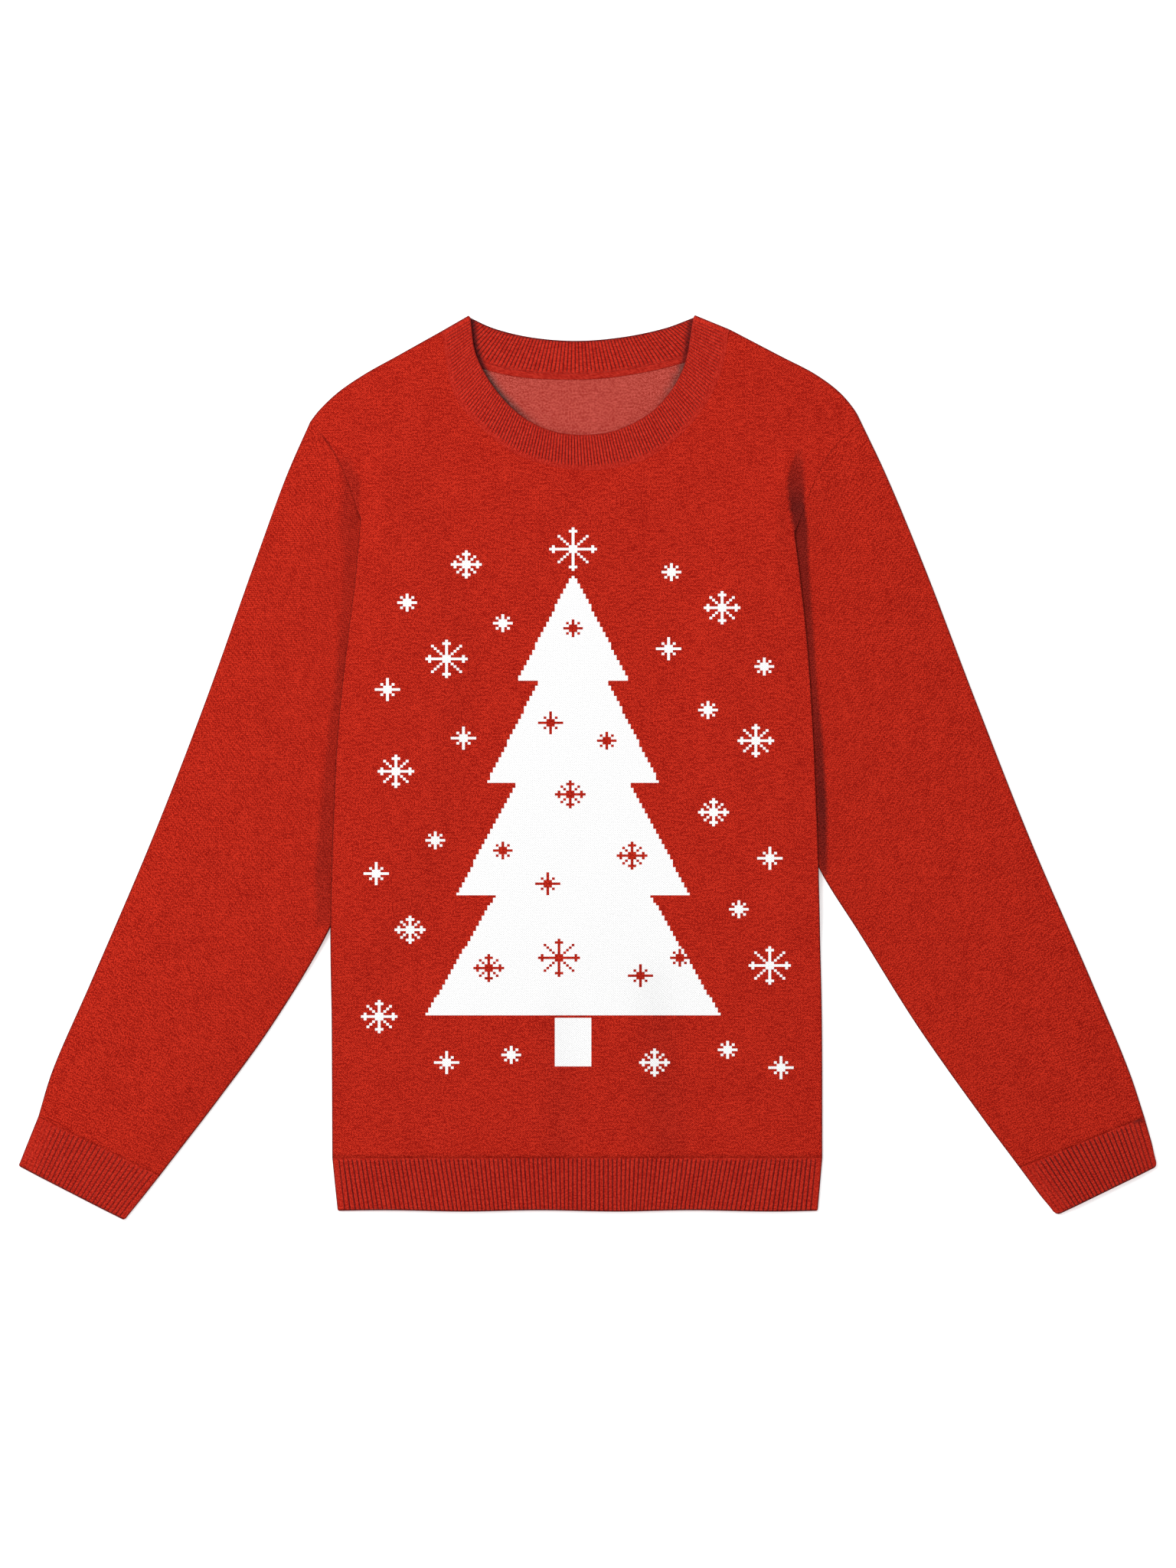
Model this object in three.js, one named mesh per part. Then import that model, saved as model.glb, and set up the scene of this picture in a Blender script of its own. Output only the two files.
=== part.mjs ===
import * as THREE from 'three';

// A knitted crew-neck sweater laid flat on its back. Sizes are millimetres.
// +X is to the viewer's right, +Y runs to the neck, +Z is up and the surface it lies on is z = 0.

// Fabric and layers
const WALL = 1.6;
const SEAM_GAP = 0.3;
const LAYER_GAP = 0.3;
const RIB_RELIEF = 0.5;
const LAID_HEIGHT = 2 * WALL + LAYER_GAP;
const TUCK_LIFT = WALL + LAYER_GAP;
const COVER_LIFT = 2 * TUCK_LIFT;
const EDGE_CHAMFER = 0.5;
const FOLD_STEPS = 3;

// Air that the laid cloth holds between its layers
const BODY_LOFT = 1.1;
const SLEEVE_LOFT = 1.9;
const ARMHOLE_LOFT = 0.8;
const NECK_LOFT = 0.9;
const COLLAR_STAND = 0.8;
const LOFT_MARGIN = 35;
const SLEEVE_LOFT_MARGIN = 0.22;
const CREST_MARGIN = 11;

// How far the lift over a tucked layer stays full, and how far it takes to run out
const SLEEVE_REACH = { full: 26, fade: 26 };
const FRONT_REACH = { full: 30, fade: 40 };
const SLEEVE_OPEN = { start: 20, end: 60 };

// Grid steps
const NECK_STEPS = 16;
const BACK_NECK_STEPS = 9;
const ARMHOLE_STEPS = 5;
const TUCK_STEPS = 5;
const FRONT_SIDE_STEPS = 13;
const BACK_SIDE_STEPS = 6;
const BACK_SHOULDER_STEPS = 4;
const SLEEVE_RINGS = 17;
const FRONT_SHOULDER_STOPS = [0, 4, 11, 19, 31, 46, 62, 80, 98];
const EDGE_STOP = 4;

// Ribs: one rib is a pair of columns, raised and sunk
const COLLAR_RIBS_PER_STEP = 8;
const HEM_RIBS = 110;
const HEM_STRIDE = 11;
const CUFF_RIBS = 27;
const CUFF_STRIDE = 6;
const COLLAR_ROWS = [
  { across: 0, rib: 0 },
  { across: 0.16, rib: 0 },
  { across: 0.2, rib: 1 },
  { across: 0.95, rib: 1 },
  { across: 1, rib: 0 },
];
const BAND_ROWS = [
  { across: 0, rib: 0 },
  { across: 0.04, rib: 1 },
  { across: 0.97, rib: 1 },
  { across: 1, rib: 0 },
];

// Outline of the laid garment, the left and right edge at each height
const SHOULDER_LINE = [
  { y: 322.5, left: -149.7, right: 150.3 },
  { y: 308.1, left: -175.5, right: 177.9 },
  { y: 293.7, left: -196.5, right: 197.1 },
  { y: 279.3, left: -211.5, right: 209.1 },
  { y: 270.8, left: -218.0, right: 213.6 },
];
const SLEEVE_OUTER = [
  { y: 270.8, left: -218.0, right: 213.6 },
  { y: 229.5, left: -236.1, right: 233.1 },
  { y: 157.5, left: -262.5, right: 263.1 },
  { y: 49.5, left: -300.9, right: 304.5 },
  { y: -58.5, left: -342.9, right: 347.1 },
  { y: -166.5, left: -389.1, right: 393.9 },
  { y: -238.5, left: -420.3, right: 423.9 },
  { y: -273.5, left: -431.0, right: 435.5 },
];
const BODY_SIDE = [
  { y: 150, left: -182.4, right: 165.8 },
  { y: 100, left: -188.6, right: 171.2 },
  { y: 30, left: -196.1, right: 176.0 },
  { y: -56, left: -200.4, right: 179.6 },
  { y: -127, left: -202.0, right: 181.4 },
  { y: -200, left: -201.2, right: 183.0 },
  { y: -305.7, left: -200.7, right: 183.3 },
];

// Armhole seam: the stretch that shows, then the stretch pleated in behind the body's edge
const ARMHOLE_SEEN = {
  left: [
    { x: -218.0, y: 270.8 },
    { x: -203.1, y: 252.9 },
    { x: -190.5, y: 229.5 },
    { x: -178.5, y: 194.7 },
  ],
  right: [
    { x: 213.6, y: 270.8 },
    { x: 195.5, y: 254.3 },
    { x: 180.3, y: 230.9 },
    { x: 161.5, y: 184.0 },
  ],
};
const ARMHOLE_TUCKED = {
  left: [{ x: -178.5, y: 194.7 }, { x: -168, y: 160 }, { x: -156, y: 122 }, { x: -148, y: 92 }],
  right: [{ x: 161.5, y: 184.0 }, { x: 152, y: 155 }, { x: 140, y: 120 }, { x: 131, y: 92 }],
};

// Underarm fold of the sleeve: tucked as far as the split, where it leaves the body's side
const SLEEVE_TUCKED = {
  left: [{ x: -148, y: 92 }, { x: -152, y: 40 }, { x: -166, y: -40 }, { x: -203.1, y: -127.5 }],
  right: [{ x: 131, y: 92 }, { x: 136, y: 45 }, { x: 151, y: -10 }, { x: 180.9, y: -79.5 }],
};
const SLEEVE_SEEN = {
  left: [{ x: -248.1, y: -202.5 }, { x: -287.1, y: -256.5 }, { x: -335.7, y: -319.8 }],
  right: [{ x: 212.7, y: -130.5 }, { x: 257.7, y: -202.5 }, { x: 308.7, y: -274.5 }, { x: 337.8, y: -313.5 }],
};
const CUFF_END = {
  left: { outer: { x: -446.4, y: -311.5 }, inner: { x: -363.0, y: -354.3 } },
  right: { outer: { x: 446.4, y: -311.5 }, inner: { x: 365.5, y: -350.9 } },
};
const HEM_END = { y: -346.8, left: -196.6, right: 179.8, wave: 0.5, waves: 3 };

// Collar: seam and free edge on the front and on the back, from its left fold to its right fold
const COLLAR_FRONT_SEAM = [
  { x: -114.5, y: 339.7 },
  { x: -110.7, y: 315.3 },
  { x: -103.5, y: 289.0 },
  { x: -83.7, y: 265.5 },
  { x: -51.9, y: 243.3 },
  { x: -2.7, y: 232.8 },
  { x: 44.7, y: 241.5 },
  { x: 78.3, y: 266.7 },
  { x: 97.5, y: 294.3 },
  { x: 105.5, y: 315.0 },
  { x: 109.8, y: 341.2 },
];
const COLLAR_FRONT_EDGE = [
  { x: -92.9, y: 352.1 },
  { x: -88.2, y: 323.0 },
  { x: -72.9, y: 295.5 },
  { x: -51.9, y: 274.5 },
  { x: -27.3, y: 262.8 },
  { x: -1.2, y: 260.2 },
  { x: 21.9, y: 263.7 },
  { x: 52.5, y: 280.5 },
  { x: 74.1, y: 311.1 },
  { x: 82.8, y: 352.3 },
];
const COLLAR_BACK_SEAM = [
  { x: -114.5, y: 339.7 },
  { x: -100.5, y: 323.5 },
  { x: -84.9, y: 313.5 },
  { x: -57.9, y: 306.3 },
  { x: -15.0, y: 303.8 },
  { x: 24.9, y: 306.3 },
  { x: 77.0, y: 318.0 },
  { x: 96.0, y: 328.5 },
  { x: 109.8, y: 341.2 },
];
const COLLAR_BACK_EDGE = [
  { x: -92.9, y: 352.1 },
  { x: -75.3, y: 344.1 },
  { x: -46.5, y: 336.9 },
  { x: -9.9, y: 333.9 },
  { x: 27.3, y: 336.9 },
  { x: 60.9, y: 344.1 },
  { x: 82.8, y: 352.3 },
];
const COLLAR_FOLD_HEIGHT = LAID_HEIGHT + NECK_LOFT;

// Soft folds of the front, as ridges (above zero) and troughs (below) along a line
const FRONT_FOLDS = {
  rightArmpitCrest: { from: { x: 156, y: 240 }, to: { x: 146, y: 176 }, width: 9, height: 1.6 },
  rightArmpitTrough: { from: { x: 165, y: 236 }, to: { x: 157, y: 190 }, width: 6, height: -1.6 },
  leftArmpitCrest: { from: { x: -166, y: 232 }, to: { x: -162, y: 178 }, width: 10, height: 0.9 },
  leftArmpitTrough: { from: { x: -180, y: 228 }, to: { x: -172, y: 196 }, width: 7, height: -0.8 },
  lowerRightCrease: { from: { x: 52, y: -170 }, to: { x: 64, y: -305 }, width: 16, height: -0.7 },
  lowerMiddleCrease: { from: { x: -22, y: -200 }, to: { x: -24, y: -305 }, width: 14, height: -0.5 },
};

const COLOURS = { knit: 0xb6261a, sleeve: 0xb92519, rib: 0xa12319, collar: 0xac281e, inside: 0xba483e };

const clamp01 = (value) => Math.min(Math.max(value, 0), 1);
const smooth = (from, to, value) => {
  const share = clamp01((value - from) / (to - from));
  return share * share * (3 - 2 * share);
};
const lerp = (a, b, share) => a + (b - a) * share;
const at = (point) => new THREE.Vector3(point.x, point.y, 0);
const between = (a, b, share) => a.clone().lerp(b, share);
const edgeOf = (table, side) => table.map((row) => new THREE.Vector3(row[side], row.y, 0));
const curveThrough = (points) => new THREE.CatmullRomCurve3(points, false, 'centripetal');
const spaced = (points, steps) => curveThrough(points).getSpacedPoints(steps);
const raised = (point, z) => new THREE.Vector3(point.x, point.y, z);
const heading = (from, to) => to.clone().sub(from).setZ(0).normalize();

// Cumulative length of a line of points as shares of its whole
function shares(points) {
  const lengths = points.map((point, i) => (i === 0 ? 0 : point.distanceTo(points[i - 1])));
  const whole = lengths.reduce((sum, length) => sum + length, 0);
  let run = 0;
  return lengths.map((length) => {
    run += length;
    return run / whole;
  });
}

// Moves an open line sideways, to the left of its direction
function offsetLine(points, distance) {
  const last = points.length - 1;
  return points.map((point, i) => {
    const arriving = heading(points[Math.max(i - 1, 0)], points[Math.max(i, 1)]);
    const leaving = heading(points[Math.min(i, last - 1)], points[Math.min(i + 1, last)]);
    const normal = new THREE.Vector3(-arriving.y - leaving.y, arriving.x + leaving.x, 0).normalize();
    const turn = normal.x * -arriving.y + normal.y * arriving.x;
    return point.clone().addScaledVector(normal, distance / turn);
  });
}

function distanceToSegment(point, a, b) {
  const along = b.clone().sub(a);
  const share = clamp01(point.clone().sub(a).dot(along) / along.lengthSq());
  return point.distanceTo(a.clone().addScaledVector(along, share));
}

// Zero inside the outline, else the distance to it
function distanceToRegion(point, outline) {
  let inside = false;
  let nearest = Infinity;
  outline.forEach((a, i) => {
    const b = outline[(i + 1) % outline.length];
    const crosses = a.y > point.y !== b.y > point.y;
    if (crosses && point.x < a.x + ((point.y - a.y) * (b.x - a.x)) / (b.y - a.y)) inside = !inside;
    nearest = Math.min(nearest, distanceToSegment(point, a, b));
  });
  return inside ? 0 : nearest;
}

// A closed wall from rows of outer and inner points. Each point has its place along the row, so that
// a ribbed side may have more points than the plain side behind it.
function wallGeometry(rows, closed) {
  const positions = [];
  const faces = [];
  const place = (column) => {
    positions.push(column.point.x, column.point.y, column.point.z);
    return { at: column.at, id: positions.length / 3 - 1 };
  };
  const grid = rows.map((row) => ({ outer: row.outer.map(place), inner: row.inner.map(place) }));
  const triangle = (a, b, c, flip) => faces.push(...(flip ? [a, c, b] : [a, b, c]));
  const skin = (side, flip) => {
    for (let r = 0; r + 1 < grid.length; r += 1) {
      const near = grid[r][side];
      const far = grid[r + 1][side];
      const count = closed ? near.length : near.length - 1;
      for (let c = 0; c < count; c += 1) {
        const next = (c + 1) % near.length;
        triangle(near[c].id, near[next].id, far[next].id, flip);
        triangle(near[c].id, far[next].id, far[c].id, flip);
      }
    }
  };
  const rim = (row, flip) => {
    const outer = [...row.outer];
    const inner = [...row.inner];
    if (closed) {
      outer.push({ at: Infinity, id: outer[0].id });
      inner.push({ at: Infinity, id: inner[0].id });
    }
    let o = 0;
    let i = 0;
    while (o < outer.length - 1 || i < inner.length - 1) {
      const outerNext = i === inner.length - 1 || (o < outer.length - 1 && outer[o + 1].at <= inner[i + 1].at);
      if (outerNext) {
        triangle(outer[o].id, outer[o + 1].id, inner[i].id, flip);
        o += 1;
      } else {
        triangle(outer[o].id, inner[i + 1].id, inner[i].id, flip);
        i += 1;
      }
    }
  };
  const side = (pick, flip) => {
    for (let r = 0; r + 1 < grid.length; r += 1) {
      const [outerNear, innerNear] = [pick(grid[r].outer).id, pick(grid[r].inner).id];
      const [outerFar, innerFar] = [pick(grid[r + 1].outer).id, pick(grid[r + 1].inner).id];
      triangle(outerNear, outerFar, innerFar, flip);
      triangle(outerNear, innerFar, innerNear, flip);
    }
  };
  skin('outer', false);
  skin('inner', true);
  rim(grid[0], true);
  rim(grid[grid.length - 1], false);
  if (!closed) {
    side((row) => row[0], false);
    side((row) => row[row.length - 1], true);
  }
  return facingOut(positions, faces);
}

// Turns the faces round if they enclose a negative volume
function facingOut(positions, faces) {
  const vertex = (id) => new THREE.Vector3().fromArray(positions, 3 * id);
  let volume = 0;
  for (let f = 0; f < faces.length; f += 3) {
    const [a, b, c] = [vertex(faces[f]), vertex(faces[f + 1]), vertex(faces[f + 2])];
    volume += a.dot(b.cross(c));
  }
  if (volume < 0) faces.reverse();
  const geometry = new THREE.BufferGeometry();
  geometry.setAttribute('position', new THREE.Float32BufferAttribute(positions, 3));
  geometry.setIndex(faces);
  geometry.computeVertexNormals();
  return geometry;
}

// One ring of a flattened tube: the top layer from left to right, a round fold, the under layer back,
// and the fold that closes it. A layer's ribs stand on the side that faces up.
function flatRing({ top, under, leftward, rightward }) {
  const outer = [];
  const inner = [];
  let place = 0;
  const column = (outerPoint, innerPoint) => {
    if (outerPoint) outer.push({ at: place, point: outerPoint });
    if (innerPoint) inner.push({ at: place, point: innerPoint });
    place += 1;
  };
  const fold = (above, below, outward, upwards) => {
    const radius = (above.z - below.z) / 2;
    const middle = raised(above.point, (above.z + below.z) / 2);
    const onArc = (size, angle) => {
      const point = middle.clone().addScaledVector(outward, size * Math.sin(angle));
      point.z += size * Math.cos(angle) * (upwards ? -1 : 1);
      return point;
    };
    for (let step = 1; step < FOLD_STEPS; step += 1) {
      const angle = (Math.PI * step) / FOLD_STEPS;
      column(onArc(radius, angle), onArc(radius - WALL, angle));
    }
  };
  top.forEach((item) => {
    const skin = raised(item.point, item.z + (item.rib ?? 0));
    column(skin, item.sparse ? null : raised(item.point, item.z - WALL));
  });
  fold(top[top.length - 1], under[0], rightward, false);
  under.forEach((item) => {
    const skin = raised(item.point, item.z + WALL + (item.rib ?? 0));
    column(item.sparse ? null : raised(item.point, item.z), skin);
  });
  fold(top[0], under[under.length - 1], leftward, true);
  return { outer, inner };
}

// Lines that the pieces share on one side of the garment
function sideLines(side) {
  const seen = spaced(ARMHOLE_SEEN[side].map(at), ARMHOLE_STEPS);
  const tucked = spaced(ARMHOLE_TUCKED[side].map(at), TUCK_STEPS);
  const bodySide = curveThrough([seen[ARMHOLE_STEPS], ...edgeOf(BODY_SIDE, side)]);
  const tuckedFold = spaced(SLEEVE_TUCKED[side].map(at), 2 * TUCK_STEPS);
  const split = tuckedFold[tuckedFold.length - 1];
  const covered = bodySide.getSpacedPoints(4 * TUCK_STEPS).filter((point) => point.y > split.y);
  return {
    inward: side === 'left' ? 1 : -1,
    seen,
    armhole: [...seen, ...tucked.slice(1)],
    bodySide,
    overlap: [...tucked, ...tuckedFold.slice(1), ...covered.reverse()],
    underarm: curveThrough([...SLEEVE_TUCKED[side].map(at), ...SLEEVE_SEEN[side].map(at)]),
    outer: curveThrough(edgeOf(SLEEVE_OUTER, side)),
  };
}

const LINES = { left: sideLines('left'), right: sideLines('right') };
const nearestTuck = (point) => Math.min(
  distanceToRegion(point, LINES.left.overlap),
  distanceToRegion(point, LINES.right.overlap),
);
const liftShare = (distance, reach) => 1 - smooth(reach.full, reach.full + reach.fade, distance);

// Collar folds: the way each fold points outwards
const collarFoldOutward = (end) => {
  const seam = at(COLLAR_FRONT_SEAM.at(end));
  const edge = at(COLLAR_FRONT_EDGE.at(end));
  const along = heading(seam, edge);
  const up = new THREE.Vector3(-along.y, along.x, 0);
  return up.y > 0 ? up : up.negate();
};
const COLLAR_LEFTWARD = collarFoldOutward(0);
const COLLAR_RIGHTWARD = collarFoldOutward(-1);

// A panel's neck edge: the collar's seam line, run out to the folds' outside and moved clear of it
function neckEdge(seamLine) {
  const radius = COLLAR_FOLD_HEIGHT / 2;
  const line = [
    seamLine[0].clone().addScaledVector(COLLAR_LEFTWARD, radius),
    ...seamLine,
    seamLine[seamLine.length - 1].clone().addScaledVector(COLLAR_RIGHTWARD, radius),
  ];
  return offsetLine(line, -SEAM_GAP);
}

// Fills a body panel's outline with a grid. Each column runs from the hem to its place on the top edge,
// and those between a side and the neck's corner bend along with that side.
function panelGrid({ bottom, top, left, right, across, up, corners }) {
  const bend = (edge, row) => edge[row].clone().sub(between(edge[0], edge[edge.length - 1], up[row]));
  return up.map((v, row) => across.map((u, column) => {
    const byLeft = 1 - smooth(0, across[corners[0]], u);
    const byRight = 1 - smooth(0, 1 - across[corners[1]], 1 - u);
    return between(bottom[column], top[column], v)
      .addScaledVector(bend(left, row), byLeft)
      .addScaledVector(bend(right, row), byRight);
  }));
}

// A body panel's outline and the grid in it: hem, sides with armholes, shoulders with the neck
function bodyPanel({ neck, shoulderStops, sideSteps }) {
  const armhole = (side) => offsetLine(LINES[side].seen, (LINES[side].inward * SEAM_GAP) / 2);
  const shoulder = (side, corner) => {
    const line = curveThrough([corner, ...edgeOf(SHOULDER_LINE, side).slice(0, -1), armhole(side)[0]]);
    const length = line.getLength();
    const fromTip = shoulderStops(length).map((stop) => line.getPointAt(1 - stop / length));
    return side === 'left' ? fromTip : fromTip.reverse();
  };
  const leftShoulder = shoulder('left', neck[0]);
  const rightShoulder = shoulder('right', neck[neck.length - 1]);
  const top = [...leftShoulder, ...neck.slice(1, -1), ...rightShoulder];
  const corners = [leftShoulder.length - 1, top.length - rightShoulder.length];
  const flank = (side) => {
    const seam = armhole(side).reverse();
    const edge = LINES[side].bodySide.getSpacedPoints(sideSteps).reverse();
    edge[0].y += SEAM_GAP / 2;
    const tip = seam[ARMHOLE_STEPS];
    const nearTip = between(tip, seam[ARMHOLE_STEPS - 1], EDGE_STOP / tip.distanceTo(seam[ARMHOLE_STEPS - 1]));
    return [...edge.slice(0, -1), ...seam.slice(0, -1), nearTip, tip];
  };
  const left = flank('left');
  const right = flank('right');
  const across = shares(top);
  const up = shares(left);
  const bottom = across.map((u) => between(left[0], right[0], u));
  const grid = panelGrid({ bottom, top, left, right, across, up, corners });
  return { grid, left, right, top, corners };
}

const sheetRow = (points) => ({
  outer: points.map((item, place) => ({ at: place, point: raised(item.point, item.topZ) })),
  inner: points.map((item, place) => ({ at: place, point: raised(item.point, item.underZ) })),
});

// Height that the soft folds add to the front
function foldHeight(point) {
  return Object.values(FRONT_FOLDS).reduce((sum, fold) => {
    const distance = distanceToSegment(point, at(fold.from), at(fold.to));
    return sum + fold.height * Math.exp(-((distance / fold.width) ** 2));
  }, 0);
}

function armholeLoft(share) {
  const run = share / (ARMHOLE_STEPS / (ARMHOLE_STEPS + TUCK_STEPS));
  return run < 1 ? ARMHOLE_LOFT * 4 * run * (1 - run) : 0;
}

function frontPanel() {
  const { grid, left, right, top, corners } = bodyPanel({
    neck: neckEdge(spaced(COLLAR_FRONT_SEAM.map(at), NECK_STEPS)),
    shoulderStops: (length) => [...FRONT_SHOULDER_STOPS, length],
    sideSteps: FRONT_SIDE_STEPS,
  });
  const edgeLoft = (row) => {
    const above = row - FRONT_SIDE_STEPS;
    return above > 0 ? armholeLoft((ARMHOLE_STEPS - above) / (ARMHOLE_STEPS + TUCK_STEPS)) : 0;
  };
  const rows = grid.map((points, row) => sheetRow(points.map((point, column) => {
    const sideways = Math.min(point.distanceTo(left[row]), point.distanceTo(right[row]));
    const upwards = point.distanceTo(top[column]);
    const onNeck = column >= corners[0] && column <= corners[1];
    const fold = foldHeight(point);
    const middle = lerp(onNeck ? NECK_LOFT : 0, Math.max(BODY_LOFT + fold, 0), smooth(0, LOFT_MARGIN, upwards));
    const loft = lerp(edgeLoft(row), middle, smooth(0, LOFT_MARGIN, sideways));
    const crest = Math.max(fold, 0) * smooth(0, CREST_MARGIN, sideways);
    const cover = COVER_LIFT * liftShare(nearestTuck(point), FRONT_REACH);
    const underZ = TUCK_LIFT + cover + Math.max(loft, crest);
    const onFold = (column === 0 || column === points.length - 1) && row <= FRONT_SIDE_STEPS;
    const onShoulder = row === grid.length - 1 && !onNeck;
    return { point, underZ, topZ: underZ + WALL - (onFold || onShoulder ? EDGE_CHAMFER : 0) };
  })));
  return wallGeometry(rows, false);
}

function backPanel() {
  const steps = Array.from({ length: BACK_SHOULDER_STEPS + 1 }, (_, step) => step / BACK_SHOULDER_STEPS);
  const { grid } = bodyPanel({
    neck: neckEdge(spaced(COLLAR_BACK_SEAM.map(at), BACK_NECK_STEPS)),
    shoulderStops: (length) => steps.map((share) => share * length),
    sideSteps: BACK_SIDE_STEPS,
  });
  const rows = grid.map((points) => sheetRow(points.map((point) => ({ point, underZ: 0, topZ: WALL }))));
  return wallGeometry(rows, false);
}

const sleeveCrown = (u) =>
  SLEEVE_LOFT * smooth(0, SLEEVE_LOFT_MARGIN, u) * smooth(0, SLEEVE_LOFT_MARGIN, 1 - u);

function sleeve(side) {
  const lines = LINES[side];
  const seam = offsetLine(lines.armhole, (-lines.inward * SEAM_GAP) / 2);
  const run = shares(seam);
  const last = seam.length - 1;
  const capFade = 0.3;
  const loftStart = 0.15;
  const heightsAt = (point, u, v) => {
    const distance = nearestTuck(point);
    const lift = TUCK_LIFT * liftShare(distance, SLEEVE_REACH);
    const loft = lerp(armholeLoft(u), sleeveCrown(u), smooth(0, loftStart, v));
    const open = smooth(SLEEVE_OPEN.start, SLEEVE_OPEN.end, distance);
    return { underZ: lift, topZ: lift + LAID_HEIGHT + loft * open };
  };
  const rings = Array.from({ length: SLEEVE_RINGS + 1 }, (_, ring) => {
    const v = ring / SLEEVE_RINGS;
    const from = v === 0 ? seam[0] : lines.outer.getPointAt(v);
    const to = v === 0 ? seam[last] : lines.underarm.getPointAt(v);
    const cap = clamp01(1 - v / capFade) ** 2;
    const line = run.map((u, i) => {
      const bulge = seam[i].clone().sub(between(seam[0], seam[last], u));
      return between(from, to, u).addScaledVector(bulge, cap);
    });
    const radius = LAID_HEIGHT / 2;
    line[0].addScaledVector(heading(line[0], line[1]), radius);
    line[last].addScaledVector(heading(line[last], line[last - 1]), radius);
    const outward = [heading(line[1], line[0]), heading(line[last - 1], line[last])];
    const layer = line.map((point, i) => ({ point, ...heightsAt(point, run[i], v) }));
    const top = layer.map((item) => ({ point: item.point, z: item.topZ }));
    const under = layer.map((item) => ({ point: item.point, z: item.underZ })).reverse();
    return flatRing({ top, under, leftward: outward[0], rightward: outward[1] });
  });
  return wallGeometry(rings, true);
}

// A ribbed band that ends a tube: from its seam line to its free end, ribs on the side that shows
function ribbedBand({ seam, end, ribs, stride, loft, endWave }) {
  const columns = 2 * ribs;
  const radius = LAID_HEIGHT / 2;
  const rows = BAND_ROWS.map(({ across, rib }) => {
    const from = between(seam[0], end[0], across);
    const to = between(seam[1], end[1], across);
    const along = heading(from, to);
    from.addScaledVector(along, radius);
    to.addScaledVector(along, -radius);
    const pointAt = (column) => {
      const point = between(from, to, column / columns);
      point.y += endWave(column / columns) * across;
      return point;
    };
    const top = Array.from({ length: columns + 1 }, (_, column) => ({
      point: pointAt(column),
      z: LAID_HEIGHT + loft(column / columns),
      rib: column % 2 === 1 ? rib * RIB_RELIEF : 0,
      sparse: column % stride !== 0,
    }));
    const under = top.filter((item) => !item.sparse).map((item) => ({ point: item.point, z: 0 })).reverse();
    return flatRing({ top, under, leftward: along.clone().negate(), rightward: along });
  });
  return wallGeometry(rows, true);
}

function hemRib() {
  const sides = ['left', 'right'];
  const seam = sides.map((side) => {
    const row = BODY_SIDE[BODY_SIDE.length - 1];
    return new THREE.Vector3(row[side], row.y - SEAM_GAP / 2, 0);
  });
  const end = sides.map((side) => new THREE.Vector3(HEM_END[side], HEM_END.y, 0));
  const width = seam[0].distanceTo(seam[1]);
  return ribbedBand({
    seam,
    end,
    ribs: HEM_RIBS,
    stride: HEM_STRIDE,
    loft: (u) => BODY_LOFT * smooth(0, LOFT_MARGIN, Math.min(u, 1 - u) * width),
    endWave: (u) => HEM_END.wave * Math.sin(2 * Math.PI * HEM_END.waves * u),
  });
}

function cuff(side) {
  const lines = LINES[side];
  const order = side === 'left' ? ['outer', 'inner'] : ['inner', 'outer'];
  const starts = { outer: lines.outer.getPointAt(1), inner: lines.underarm.getPointAt(1) };
  const ends = { outer: at(CUFF_END[side].outer), inner: at(CUFF_END[side].inner) };
  const seam = order.map((key) => starts[key].clone().addScaledVector(heading(starts[key], ends[key]), SEAM_GAP));
  return ribbedBand({
    seam,
    end: order.map((key) => ends[key]),
    ribs: CUFF_RIBS,
    stride: CUFF_STRIDE,
    loft: sleeveCrown,
    endWave: () => 0,
  });
}

function collar() {
  const front = { seam: COLLAR_FRONT_SEAM, edge: COLLAR_FRONT_EDGE, steps: NECK_STEPS };
  const back = { seam: COLLAR_BACK_SEAM, edge: COLLAR_BACK_EDGE, steps: BACK_NECK_STEPS };
  const stride = 2 * COLLAR_RIBS_PER_STEP;
  const standMargin = 0.12;
  const bareFold = 2;
  // points along a band at one distance from its seam: straight between the steps, as the panel's edge is
  const lineAt = (band, across) => {
    const seam = spaced(band.seam.map(at), band.steps);
    const edge = spaced(band.edge.map(at), band.steps);
    const stops = seam.map((point, i) => between(point, edge[i], across));
    return Array.from({ length: band.steps * stride + 1 }, (_, column) => {
      const step = Math.min(Math.floor(column / stride), band.steps - 1);
      return between(stops[step], stops[step + 1], (column - step * stride) / stride);
    });
  };
  const ribAt = (column, count, rib) => {
    const bare = column < bareFold || column > count - bareFold;
    return column % 2 === 1 && !bare ? rib * RIB_RELIEF : 0;
  };
  const rings = COLLAR_ROWS.map(({ across, rib }) => {
    const top = lineAt(front, across).map((point, column, line) => {
      const share = column / (line.length - 1);
      const stand = COLLAR_STAND * across * smooth(0, standMargin, Math.min(share, 1 - share));
      return {
        point,
        z: COLLAR_FOLD_HEIGHT + stand,
        rib: ribAt(column, line.length, rib),
        sparse: column % stride !== 0,
      };
    });
    const under = lineAt(back, across).map((point, column, line) => ({
      point,
      z: 0,
      rib: ribAt(column, line.length, rib),
      sparse: column % stride !== 0,
    })).reverse();
    return flatRing({ top, under, leftward: COLLAR_LEFTWARD, rightward: COLLAR_RIGHTWARD });
  });
  return wallGeometry(rings, true);
}

function piece(name, geometry, color) {
  const material = new THREE.MeshStandardMaterial({ color, roughness: 0.95, metalness: 0 });
  const mesh = new THREE.Mesh(geometry, material);
  mesh.name = name;
  return mesh;
}

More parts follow.
